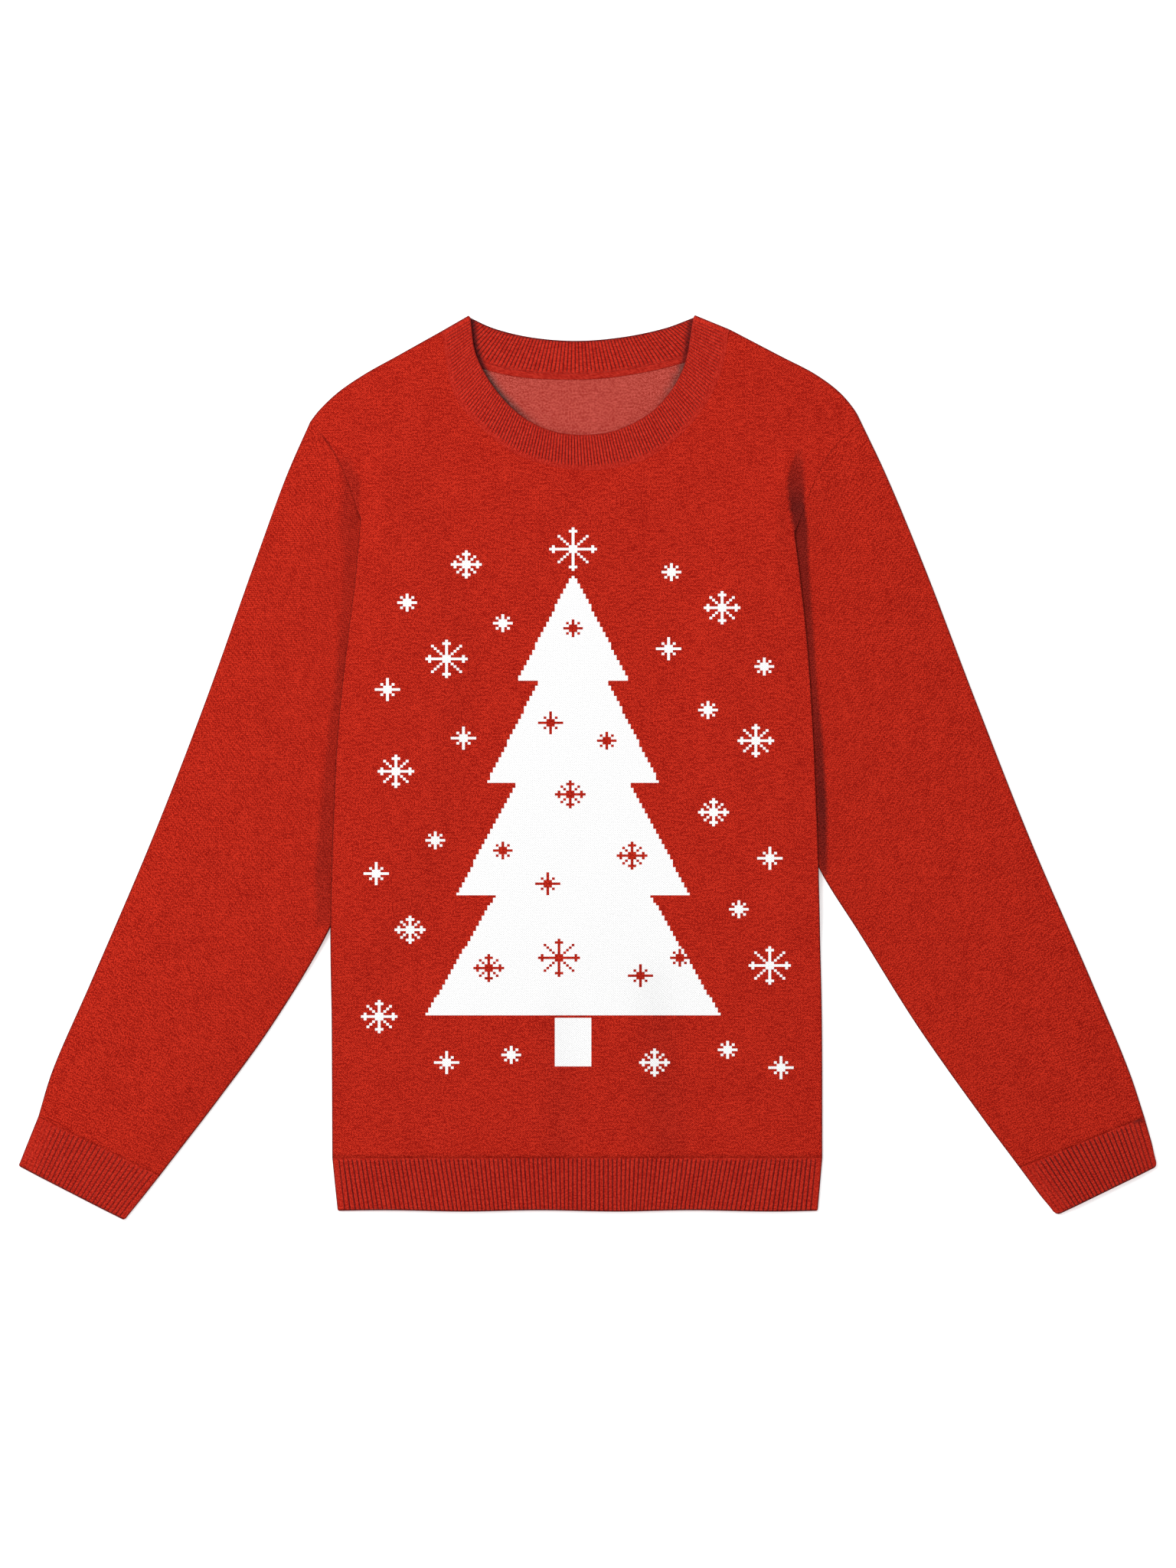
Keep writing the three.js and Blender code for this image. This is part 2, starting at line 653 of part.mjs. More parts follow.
const sweater = new THREE.Group();
sweater.add(piece('back_panel', backPanel(), COLOURS.inside));
sweater.add(piece('front_panel', frontPanel(), COLOURS.knit));
['left', 'right'].forEach((side) => {
  sweater.add(piece(`sleeve_${side}`, sleeve(side), COLOURS.sleeve));
  sweater.add(piece(`cuff_${side}`, cuff(side), COLOURS.rib));
});
sweater.add(piece('collar', collar(), COLOURS.collar));
sweater.add(piece('hem_rib', hemRib(), COLOURS.rib));

export default sweater;
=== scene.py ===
"""Dresses the laid crew-neck sweater: fine cloth shells, real ribs, knit finishes, light and camera."""

import logging
import math
from dataclasses import dataclass, field
from enum import Enum
from typing import Callable, ClassVar

import bmesh
import bpy
import numpy as np
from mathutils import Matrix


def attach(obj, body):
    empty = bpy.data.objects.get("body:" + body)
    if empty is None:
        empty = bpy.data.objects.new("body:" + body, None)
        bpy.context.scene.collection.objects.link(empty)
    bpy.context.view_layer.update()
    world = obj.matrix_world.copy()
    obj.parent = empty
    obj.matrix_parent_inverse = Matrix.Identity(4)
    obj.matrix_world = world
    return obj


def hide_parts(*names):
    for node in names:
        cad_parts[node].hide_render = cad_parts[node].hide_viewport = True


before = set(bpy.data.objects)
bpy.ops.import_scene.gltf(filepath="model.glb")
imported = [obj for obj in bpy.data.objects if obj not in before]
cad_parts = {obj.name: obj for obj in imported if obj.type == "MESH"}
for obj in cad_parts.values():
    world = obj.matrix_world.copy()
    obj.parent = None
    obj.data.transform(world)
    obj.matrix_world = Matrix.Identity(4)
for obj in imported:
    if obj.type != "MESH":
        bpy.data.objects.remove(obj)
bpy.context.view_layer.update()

log = logging.getLogger("sweater")

MM = 0.001

# Fabric and layers, in millimetres
WALL = 1.6
CLOTH = 1.3
SEAM = 0.03
LAYER_GAP = 0.3
LAID_HEIGHT = 2 * WALL + LAYER_GAP
TUCK_LIFT = WALL + LAYER_GAP
COVER_LIFT = 2 * TUCK_LIFT
ROLL = 1.3
SEAM_DROP = 0.35
SEAM_WIDTH = 0.9
NECK_GROOVE = 0.06
FAR = 99.0

# Air between the layers, and how far the lift over a tucked layer reaches
BODY_LOFT = 1.1
SLEEVE_LOFT = 1.9
SLEEVE_LOFT_MARGIN = 0.22
ARMHOLE_LOFT = 0.8
NECK_LOFT = 0.9
COLLAR_STAND = 0.8
COLLAR_HEIGHT = LAID_HEIGHT + NECK_LOFT
LOFT_MARGIN = 35
CREST_MARGIN = 11
SLEEVE_REACH = (26, 26)
FRONT_REACH = (30, 40)
SLEEVE_OPEN = (20, 60)

# Ribs
RIB_RELIEF = 0.55
HEM_RIBS = 110
CUFF_RIBS = 27
COLLAR_FRONT_RIBS = 128
COLLAR_BACK_RIBS = 72
RIB_STEPS = 8
FOLD_STEPS = 6
COLLAR_DEPTH = 28
LINK_RELIEF = 0.28
GROOVE_SHADE = 1.0
RIM_SHADE = 0.85

# Shade beside edges and seams, from 0 to 1, and its width in millimetres
EDGE_SHADE = 0.85
BACK_EDGE_SHADE = 0.8
EDGE_SHADE_WIDTH = 0.8
SEAM_GAP_SHADE = 0.75
# Painted darkening of the collar's plain linking band, which takes the painted highlight of the lighter
# collar yarn back to the body's tone
FRONT_LINK_SHADE = 0.16
BACK_LINK_SHADE = 0.18

# Outline of the laid garment in millimetres: height, left edge, right edge
SHOULDER_LINE = [
    (322.5, -149.7, 150.3),
    (308.1, -175.5, 177.9),
    (293.7, -196.5, 197.1),
    (279.3, -211.5, 209.1),
]
SLEEVE_OUTER = [
    (270.8, -218.0, 213.6),
    (229.5, -236.1, 233.1),
    (157.5, -262.5, 263.1),
    (49.5, -300.9, 304.5),
    (-58.5, -342.9, 347.1),
    (-166.5, -389.1, 393.9),
    (-238.5, -420.3, 423.9),
    (-273.5, -431.0, 435.5),
]
BODY_SIDE = [
    (150, -182.4, 165.8),
    (100, -188.6, 171.2),
    (30, -196.1, 176.0),
    (-56, -200.4, 179.6),
    (-127, -202.0, 181.4),
    (-200, -201.2, 183.0),
    (-305.7, -200.7, 183.3),
]


class Side(Enum):
    """The viewer's left or right half of the garment: table column and the way to the middle."""

    LEFT = ("left", 1, 1)
    RIGHT = ("right", 2, -1)

    @property
    def label(self) -> str:
        """Word used in node names."""
        return self.value[0]

    @property
    def column(self) -> int:
        """Column of this side in the outline tables."""
        return self.value[1]

    @property
    def inward(self) -> int:
        """Sign of X towards the middle."""
        return self.value[2]

    def edge(self, table: list[tuple[float, float, float]]) -> np.ndarray:
        """This side's points of an outline table.

        Args:
            table: rows of height, left and right.

        Returns:
            Points as rows of x and y.
        """
        return np.array([(row[self.column], row[0]) for row in table], float)


ARMHOLE_SEEN = {
    Side.LEFT: [(-218.0, 270.8), (-203.1, 252.9), (-190.5, 229.5), (-178.5, 194.7)],
    Side.RIGHT: [(213.6, 270.8), (195.5, 254.3), (180.3, 230.9), (161.5, 184.0)],
}
ARMHOLE_TUCKED = {
    Side.LEFT: [(-178.5, 194.7), (-168, 160), (-156, 122), (-148, 92)],
    Side.RIGHT: [(161.5, 184.0), (152, 155), (140, 120), (131, 92)],
}
SLEEVE_TUCKED = {
    Side.LEFT: [(-148, 92), (-152, 40), (-166, -40), (-203.1, -127.5)],
    Side.RIGHT: [(131, 92), (136, 45), (151, -10), (180.9, -79.5)],
}
SLEEVE_SEEN = {
    Side.LEFT: [(-248.1, -202.5), (-287.1, -256.5), (-335.7, -319.8)],
    Side.RIGHT: [(212.7, -130.5), (257.7, -202.5), (308.7, -274.5), (337.8, -313.5)],
}
CUFF_OUTER_END = {Side.LEFT: (-446.4, -311.5), Side.RIGHT: (446.4, -311.5)}
CUFF_INNER_END = {Side.LEFT: (-363.0, -354.3), Side.RIGHT: (365.5, -350.9)}
HEM_END = {Side.LEFT: (-196.6, -346.8), Side.RIGHT: (179.8, -346.8)}

COLLAR_FRONT_SEAM = [
    (-114.5, 339.7), (-110.7, 315.3), (-103.5, 289.0), (-83.7, 265.5), (-51.9, 243.3), (-2.7, 232.8),
    (44.7, 241.5), (78.3, 266.7), (97.5, 294.3), (105.5, 315.0), (109.8, 341.2),
]
COLLAR_FRONT_EDGE = [
    (-92.9, 352.1), (-88.2, 323.0), (-72.9, 295.5), (-51.9, 274.5), (-27.3, 262.8), (-1.2, 260.2),
    (21.9, 263.7), (52.5, 280.5), (74.1, 311.1), (82.8, 352.3),
]
COLLAR_BACK_SEAM = [
    (-114.5, 339.7), (-100.5, 323.5), (-84.9, 313.5), (-57.9, 306.3), (-15.0, 303.8), (24.9, 306.3),
    (77.0, 318.0), (96.0, 328.5), (109.8, 341.2),
]
COLLAR_BACK_EDGE = [
    (-92.9, 352.1), (-75.3, 344.1), (-46.5, 336.9), (-9.9, 333.9), (27.3, 336.9), (60.9, 344.1),
    (82.8, 352.3),
]


@dataclass(frozen=True)
class Fold:
    """A soft ridge (height above zero) or trough along a line, in millimetres."""

    start: tuple[float, float]
    end: tuple[float, float]
    width: float
    height: float
    shade: float = 0.0


FRONT_FOLDS = [
    Fold((156, 240), (146, 176), 9, 1.6),
    Fold((165, 236), (157, 190), 6, -1.6),
    Fold((-166, 232), (-162, 178), 10, 0.9),
    Fold((-180, 228), (-172, 196), 7, -0.8),
    Fold((52, -170), (64, -305), 16, -0.7, 0.12),
    Fold((-22, -200), (-24, -305), 14, -0.5, 0.08),
]

# Shadows in the armhole tucks in millimetres: height, left side, right side, depth of shade
LEFT_TUCK_SHADOW = [
    (246, -192.0, -189.0, 0.0),
    (240, -195.0, -186.0, 0.2),
    (222, -192.0, -178.5, 0.24),
    (187, -195.0, -180.0, 0.22),
    (165, -191.5, -181.0, 0.2),
    (120, -194.5, -186.5, 0.2),
    (78, -197.0, -191.0, 0.34),
    (45, -201.5, -195.0, 0.24),
    (7, -206.5, -197.6, 0.26),
    (-64, -212.5, -201.0, 0.31),
    (-84, -214.0, -202.0, 0.3),
    (-124, -213.0, -202.0, 0.2),
]
RIGHT_TUCK_SHADOW = [
    (252, 163.6, 165.2, 0.0),
    (247, 162.0, 166.4, 0.22),
    (238, 158.6, 168.2, 0.38),
    (223, 155.4, 169.0, 0.5),
    (205, 157.2, 169.2, 0.74),
    (187, 160.2, 171.8, 0.62),
    (160, 163.8, 172.6, 0.56),
    (115, 169.3, 175.6, 0.54),
    (62, 173.6, 179.2, 0.5),
    (26, 176.0, 183.3, 0.6),
    (-28, 178.6, 186.6, 0.74),
    (-64, 179.7, 187.0, 0.62),
    (-84, 180.8, 187.0, 0.5),
]


def smooth(start: float, end: float, value: np.ndarray | float) -> np.ndarray | float:
    """Eases from 0 at start to 1 at end."""
    share = np.clip((value - start) / (end - start), 0.0, 1.0)
    return share * share * (3 - 2 * share)


def lerp(first: float, second: float, share: float) -> float:
    """Value between two others, which may be arrays."""
    return first + (second - first) * share


def unit(vector: np.ndarray) -> np.ndarray:
    """Vector, or rows of vectors, of length one."""
    return vector / np.maximum(np.linalg.norm(vector, axis=-1, keepdims=True), 1e-9)


class SmoothLine:
    """A centripetal curve through a few points, walked by its length."""

    PER_SPAN = 48

    def __init__(self, knots: np.ndarray | list[tuple[float, float]]) -> None:
        """Samples the curve.

        Args:
            knots: points as rows of x and y.
        """
        knots = np.array(knots, float)
        padded = np.vstack([2 * knots[0] - knots[1], knots, 2 * knots[-1] - knots[-2]])
        pace = np.sqrt(np.linalg.norm(np.diff(padded, axis=0), axis=1))
        t = np.linspace(0, 1, self.PER_SPAN, endpoint=False)[:, None]
        pieces = []
        for i in range(len(knots) - 1):
            before, here, there, after = padded[i:i + 4]
            d0, d1, d2 = pace[i:i + 3]
            leave = ((here - before) / d0 - (there - before) / (d0 + d1) + (there - here) / d1) * d1
            arrive = ((there - here) / d1 - (after - here) / (d1 + d2) + (after - there) / d2) * d1
            square = -3 * here + 3 * there - 2 * leave - arrive
            cube = 2 * here - 2 * there + leave + arrive
            pieces.append(here + leave * t + square * t ** 2 + cube * t ** 3)
        self.points = np.vstack([*pieces, knots[-1:]])
        self.runs = np.concatenate([[0], np.cumsum(np.linalg.norm(np.diff(self.points, axis=0), axis=1))])

    @property
    def length(self) -> float:
        """Whole length in millimetres."""
        return float(self.runs[-1])

    def at(self, shares: np.ndarray) -> np.ndarray:
        """Points at shares of the length."""
        runs = np.asarray(shares) * self.length
        return np.column_stack([np.interp(runs, self.runs, self.points[:, axis]) for axis in (0, 1)])

    def spaced(self, steps: int) -> np.ndarray:
        """Evenly spaced points, steps plus one of them."""
        return self.at(np.linspace(0, 1, steps + 1))


def offset_line(points: np.ndarray, distance: float) -> np.ndarray:
    """Moves an open line sideways, to the left of its direction.

    Args:
        points: the line's points.
        distance: how far it moves.

    Returns:
        The moved points.
    """
    ways = unit(np.diff(points, axis=0))
    arriving = np.vstack([ways[:1], ways])
    leaving = np.vstack([ways, ways[-1:]])
    both = unit(arriving + leaving)
    normal = np.column_stack([-both[:, 1], both[:, 0]])
    turn = np.sum(both * arriving, axis=1, keepdims=True)
    return points + normal * distance / turn


def distance_to_line(places: np.ndarray, line: np.ndarray) -> np.ndarray:
    """Distance of each place to an open line.

    Args:
        places: rows of x and y.
        line: the line's points.

    Returns:
        One distance for each place.
    """
    nearest = np.full(len(places), np.inf)
    for a, b in zip(line[:-1], line[1:]):
        along = b - a
        share = np.clip(((places - a) @ along) / max(float(along @ along), 1e-9), 0, 1)
        nearest = np.minimum(nearest, np.linalg.norm(places - a - share[:, None] * along, axis=1))
    return nearest


def distance_to_region(places: np.ndarray, outline: np.ndarray) -> np.ndarray:
    """Distance of each place to a closed outline, and zero inside it.

    Args:
        places: rows of x and y.
        outline: the outline's points, the first one not repeated.

    Returns:
        One distance for each place.
    """
    closed = np.vstack([outline, outline[:1]])
    inside = np.zeros(len(places), bool)
    for a, b in zip(closed[:-1], closed[1:]):
        if a[1] == b[1]:
            continue
        spans = (a[1] > places[:, 1]) != (b[1] > places[:, 1])
        crossing = a[0] + (places[:, 1] - a[1]) * (b[0] - a[0]) / (b[1] - a[1])
        inside ^= spans & (places[:, 0] < crossing)
    return np.where(inside, 0.0, distance_to_line(places, closed))


class SideLines:
    """The lines that the pieces share on one side of the garment."""

    ARMHOLE_STEPS = 5
    TUCK_STEPS = 5

    def __init__(self, side: Side) -> None:
        """Works the lines out from the outline tables."""
        self.side = side
        self.seen = SmoothLine(ARMHOLE_SEEN[side])
        self.tucked = SmoothLine(ARMHOLE_TUCKED[side])
        self.body_side = SmoothLine(np.vstack([self.seen.points[-1:], side.edge(BODY_SIDE)]))
        self.outer = SmoothLine(side.edge(SLEEVE_OUTER))
        self.underarm = SmoothLine(SLEEVE_TUCKED[side] + SLEEVE_SEEN[side])
        fold = SmoothLine(SLEEVE_TUCKED[side]).spaced(2 * self.TUCK_STEPS)
        covered = self.body_side.spaced(4 * self.TUCK_STEPS)
        covered = covered[covered[:, 1] > fold[-1, 1]]
        tuck = self.tucked.spaced(self.TUCK_STEPS)
        self.overlap = np.vstack([tuck, fold[1:], covered[::-1]])

    def armhole(self, seen_steps: int, tuck_steps: int) -> np.ndarray:
        """The whole armhole, from the shoulder tip to the underarm point."""
        return np.vstack([self.seen.spaced(seen_steps), self.tucked.spaced(tuck_steps)[1:]])


LINES = {side: SideLines(side) for side in Side}


def nearest_tuck(places: np.ndarray) -> np.ndarray:
    """Distance of each place to where a sleeve lies under the front."""
    return np.minimum(*[distance_to_region(places, LINES[side].overlap) for side in Side])


def lift_share(distance: np.ndarray, reach: tuple[float, float]) -> np.ndarray:
    """How much of a lift over a tucked layer is left at a distance."""
    return 1 - smooth(reach[0], reach[0] + reach[1], distance)


def band_shade(places: np.ndarray, rows: list[tuple[float, ...]], soft: tuple[float, float]) -> np.ndarray:
    """Shade of a long shadow between two upright lines.

    Args:
        places: rows of x and y.
        rows: height, left side, right side and depth, from the top down.
        soft: how softly the left and the right side fade, in millimetres.

    Returns:
        The shade at each place.
    """
    height, left, right, depth = np.array(rows[::-1], float).T
    x, y = places[:, 0], places[:, 1]
    from_left = smooth(-soft[0], soft[0], x - np.interp(y, height, left))
    from_right = smooth(-soft[1], soft[1], np.interp(y, height, right) - x)
    return np.interp(y, height, depth, left=0) * from_left * from_right


def tuck_shadow(places: np.ndarray) -> np.ndarray:
    """Shade in the tucks beside the armholes and along the body's edges."""
    left = band_shade(places, LEFT_TUCK_SHADOW, (3.0, 0.7))
    right = band_shade(places, RIGHT_TUCK_SHADOW, (1.2, 1.2))
    return np.maximum(left, right)


def armhole_seam(places: np.ndarray, distance: np.ndarray) -> tuple[np.ndarray, np.ndarray]:
    """The armhole seam's groove, which sinks into the tuck on the right side.

    Args:
        places: places whose last axis is x and y.
        distance: how far each place is from the seam.

    Returns:
        Depth in millimetres and shade.
    """
    y = places[..., 1]
    seen = np.where(places[..., 0] < 0, smooth(268, 255, y), smooth(260, 250, y) * smooth(226, 234, y))
    left = places[..., 0] < 0
    depth = SEAM_DROP * np.where(left, 1.0, 0.5) * seen * np.exp(-((distance / SEAM_WIDTH) ** 2))
    return depth, np.where(left, 0.4, 0.2) * seen * np.exp(-((distance / 0.7) ** 2))


def ripple(places: np.ndarray) -> np.ndarray:
    """Slight unevenness of laid knit in millimetres, the same on every run."""
    x, y = places[..., 0], places[..., 1]
    waves = [
        (0.13, 0.041, 0.017, 0.4),
        (0.11, -0.023, 0.052, 1.9),
        (0.09, 0.071, -0.039, 3.1),
        (0.07, 0.094, 0.088, 5.2),
        (0.05, -0.131, 0.067, 2.6),
    ]
    return sum(size * np.sin(along * x + up * y + start) for size, along, up, start in waves)


@dataclass
class Laid:
    """A grid of laid cloth, row by row: places in millimetres, knit coordinates in metres and shade."""

    places: np.ndarray
    knit: np.ndarray
    shade: np.ndarray

    def closed(self) -> "Laid":
        """The same grid with its first column again at its end."""
        return Laid(
            np.concatenate([self.places, self.places[:, :1]], axis=1),
            self.knit,
            np.concatenate([self.shade, self.shade[:, :1]], axis=1),
        )


def make_cloth(name: str, laid: Laid, shell: bool, finishes: list[bpy.types.Material]) -> bpy.types.Object:
    """Makes a piece from a flat grid whose points are laid in their places.

    Args:
        name: the piece's name.
        laid: where each point of the grid lies.
        shell: whether the grid closes on itself both ways.
        finishes: materials, the outside first.

    Returns:
        The new object.
    """
    rows, columns = laid.shade.shape
    cloth = bmesh.new()
    bmesh.ops.create_grid(cloth, x_segments=columns - 1, y_segments=rows - 1, size=0.5)
    shade_layer = cloth.verts.layers.float.new("shade")
    knit_layer = cloth.loops.layers.uv.new("Knit")
    cells = [
        (round((vertex.co.y + 0.5) * (rows - 1)), round((vertex.co.x + 0.5) * (columns - 1)))
        for vertex in cloth.verts
    ]
    places = (laid.places * MM).tolist()
    knit = laid.knit.tolist()
    shade = laid.shade.tolist()
    for face in cloth.faces:
        face.smooth = True
        for loop in face.loops:
            row, column = cells[loop.vert.index]
            loop[knit_layer].uv = knit[row][column]
    for vertex, (row, column) in zip(cloth.verts, cells):
        vertex.co = places[row][column]
        vertex[shade_layer] = shade[row][column]
    if shell:
        bmesh.ops.remove_doubles(cloth, verts=cloth.verts, dist=1e-6)
        bmesh.ops.recalc_face_normals(cloth, faces=cloth.faces)
    mesh = bpy.data.meshes.new(name)
    cloth.to_mesh(mesh)
    cloth.free()
    for finish in finishes:
        mesh.materials.append(finish)
    piece = bpy.data.objects.new(name, mesh)
    bpy.context.scene.collection.objects.link(piece)
    return piece


def wall_of(outer: Laid, inner: Laid, bulges: tuple[float, float]) -> Laid:
    """Joins the two faces of a tube's wall round its ends, so that the grid closes on itself both ways.

    Args:
        outer: the outer face, rows from the first end to the last.
        inner: the inner face, in the same order.
        bulges: how far the first and the last rim round out, in millimetres.

    Returns:
        The whole wall as one grid.
    """
    def rim(row: int, before: int, bulge: float) -> Laid:
        """The row that rounds one end, between the two faces."""
        way = unit(outer.places[row] - outer.places[before])
        middle = (outer.places[row] + inner.places[row]) / 2 + way * bulge
        return Laid(middle[None], outer.knit[row][None], np.maximum(outer.shade[row], inner.shade[row])[None])

    parts = [
        outer,
        rim(-1, -2, bulges[1]),
        Laid(inner.places[::-1], inner.knit[::-1], inner.shade[::-1]),
        rim(0, 1, bulges[0]),
        Laid(outer.places[:1], outer.knit[:1], outer.shade[:1]),
    ]
    joined = [np.concatenate([getattr(part, key) for part in parts]) for key in ("places", "knit", "shade")]
    return Laid(*joined)


@dataclass
class Layer:
    """One layer of a flattened tube in one ring: places, height, ribs and shade of its columns."""

    line: np.ndarray
    height: np.ndarray
    rib: np.ndarray
    shade: np.ndarray


class Tube:
    """A flattened tube of cloth, built ring by ring."""

    FOLD_ANGLES = np.pi * np.arange(1, FOLD_STEPS) / FOLD_STEPS
    FOLD_SHADE = 0.85 * smooth(0.3, 0.9, np.sin(FOLD_ANGLES))

    def __init__(self) -> None:
        """Starts with no rings."""
        self.outer: list[np.ndarray] = []
        self.inner: list[np.ndarray] = []
        self.shade: list[np.ndarray] = []
        self.knit: list[np.ndarray] = []

    def add_ring(
        self, top: Layer, under: Layer, outward: tuple[np.ndarray, np.ndarray], along: float,
    ) -> None:
        """Adds a ring: the top from left to right, a round fold, the under layer back, a fold.

        Args:
            top: the upper layer, left to right, with its height at its upper side.
            under: the lower layer, right to left, with its height at its underside.
            outward: the ways that the left and the right fold point.
            along: knit coordinate of the ring down the tube, in millimetres.
        """
        right = self.fold(top, under, -1, 0, outward[1])
        left = self.fold(top, under, 0, -1, outward[0])
        self.outer.append(np.vstack([
            np.column_stack([top.line, top.height + top.rib]),
            right[0],
            np.column_stack([under.line, under.height]),
            left[0][::-1],
        ]))
        self.inner.append(np.vstack([
            np.column_stack([top.line, top.height - WALL]),
            right[1],
            np.column_stack([under.line, under.height + WALL + under.rib]),
            left[1][::-1],
        ]))
        self.shade.append(np.concatenate([top.shade, self.FOLD_SHADE, under.shade, self.FOLD_SHADE]))
        closed = np.vstack([self.outer[-1], self.outer[-1][:1]])
        run = np.concatenate([[0], np.cumsum(np.linalg.norm(np.diff(closed[:, :2], axis=0), axis=1))])
        width = run[len(top.line) - 1]
        self.knit.append(np.column_stack([run - width / 2, np.full(len(run), -along)]) * MM)

    def fold(self, top: Layer, under: Layer, above: int, below: int, outward: np.ndarray) -> list[np.ndarray]:
        """One fold's points, from the top layer down.

        Args:
            top: the upper layer.
            under: the lower layer.
            above: index of the fold's column in the upper layer.
            below: index of the fold's column in the lower layer.
            outward: the way that the fold points.

        Returns:
            The outer and the inner points.
        """
        high, low = top.height[above], under.height[below]
        arcs = []
        for size in ((high - low) / 2, (high - low) / 2 - WALL):
            side = top.line[above] + outward * (size * np.sin(self.FOLD_ANGLES))[:, None]
            height = (high + low) / 2 + size * np.cos(self.FOLD_ANGLES)
            arcs.append(np.column_stack([side, height]))
        return arcs

    def laid(self, bulges: tuple[float, float], shape: Callable | None = None) -> Laid:
        """The whole wall as one grid that closes on itself both ways.

        Args:
            bulges: how far the first and the last rim round out, in millimetres.
            shape: moves the points of all rings, if given.

        Returns:
            The grid.
        """
        faces = []
        for points in (np.array(self.outer), np.array(self.inner)):
            moved = points if shape is None else shape(points)
            faces.append(Laid(moved, np.array(self.knit), np.array(self.shade)).closed())
        return wall_of(faces[0], faces[1], bulges)


def rib_profile(count: int, groove_reach: float) -> tuple[np.ndarray, np.ndarray]:
    """Round ribs with narrow grooves between them.

    Args:
        count: number of ribs.
        groove_reach: share of the rib's rise that the groove's shade covers.

    Returns:
        Relief from 0 to 1 and groove shade from 0 to 1, one for each column.
    """
    turn = np.arange(count * RIB_STEPS + 1) / RIB_STEPS % 1.0
    crest = np.sin(np.pi * turn)
    return np.sqrt(crest), np.clip(1 - crest / groove_reach, 0, 1)


class Net:
    """Adds nodes to one tree and links them."""

    def __init__(self, tree: bpy.types.NodeTree) -> None:
        """Keeps the tree."""
        self.tree = tree

    def add(self, kind: str, inputs: dict | None = None, **settings: object) -> bpy.types.Node:
        """Adds a node.

        Args:
            kind: the node's type.
            inputs: sockets or values by input name or number.
            settings: the node's own settings.

        Returns:
            The new node.
        """
        node = self.tree.nodes.new(kind)
        for key, value in settings.items():
            setattr(node, key, value)
        for key, value in (inputs or {}).items():
            self.feed(node.inputs[key], value)
        return node

    def feed(self, socket: bpy.types.NodeSocket, value: object) -> None:
        """Links a socket, or sets its value."""
        if isinstance(value, bpy.types.NodeSocket):
            self.tree.links.new(value, socket)
        else:
            socket.default_value = value

    def math(self, operation: str, *values: object) -> bpy.types.NodeSocket:
        """Result of a math node."""
        node = self.add("ShaderNodeMath", dict(enumerate(values)), operation=operation)
        return node.outputs[0]

    def blend(self, share: object, first: object, second: object, kind: str = "MIX") -> bpy.types.NodeSocket:
        """Result of mixing two colours."""
        node = self.add("ShaderNodeMix", data_type="RGBA", blend_type=kind)
        self.feed(node.inputs[0], share)
        self.feed(node.inputs[6], first)
        self.feed(node.inputs[7], second)
        return node.outputs[2]

    def remap(self, value: object, low: float, high: float) -> bpy.types.NodeSocket:
        """A value that runs from 0 at low to 1 at high."""
        node = self.add("ShaderNodeMapRange", {0: value, 1: low, 2: high, 3: 0.0, 4: 1.0})
        return node.outputs[0]


def new_group(name: str, inputs: list[tuple[str, str, object]], outputs: list[tuple[str, str]]) -> tuple:
    """Starts a shader node group with named sockets.

    Args:
        name: the group's name.
        inputs: name, socket type and default of each input.
        outputs: name and socket type of each output.

    Returns:
        The group, a net on it, its input sockets by name and its output node.
    """
    group = bpy.data.node_groups.new(name, "ShaderNodeTree")
    for label, kind, default in inputs:
        socket = group.interface.new_socket(name=label, in_out="INPUT", socket_type=kind)
        if default is not None:
            socket.default_value = default
    for label, kind in outputs:
        group.interface.new_socket(name=label, in_out="OUTPUT", socket_type=kind)
    net = Net(group)
    entry = net.add("NodeGroupInput")
    return group, net, entry.outputs, net.add("NodeGroupOutput")


# Heathered yarn: noise scales per metre, their weights, and the range that runs from deep to light
SPECK_SCALE = 930.0
SPECK_WEIGHT = 0.76
STREAK_SCALE = (130.0, 700.0, 1.0)
STREAK_WEIGHT = 0.31
CLOUD_SCALE = 38.0
CLOUD_WEIGHT = 0.08
HEATHER_RANGE = (0.49, 0.66)


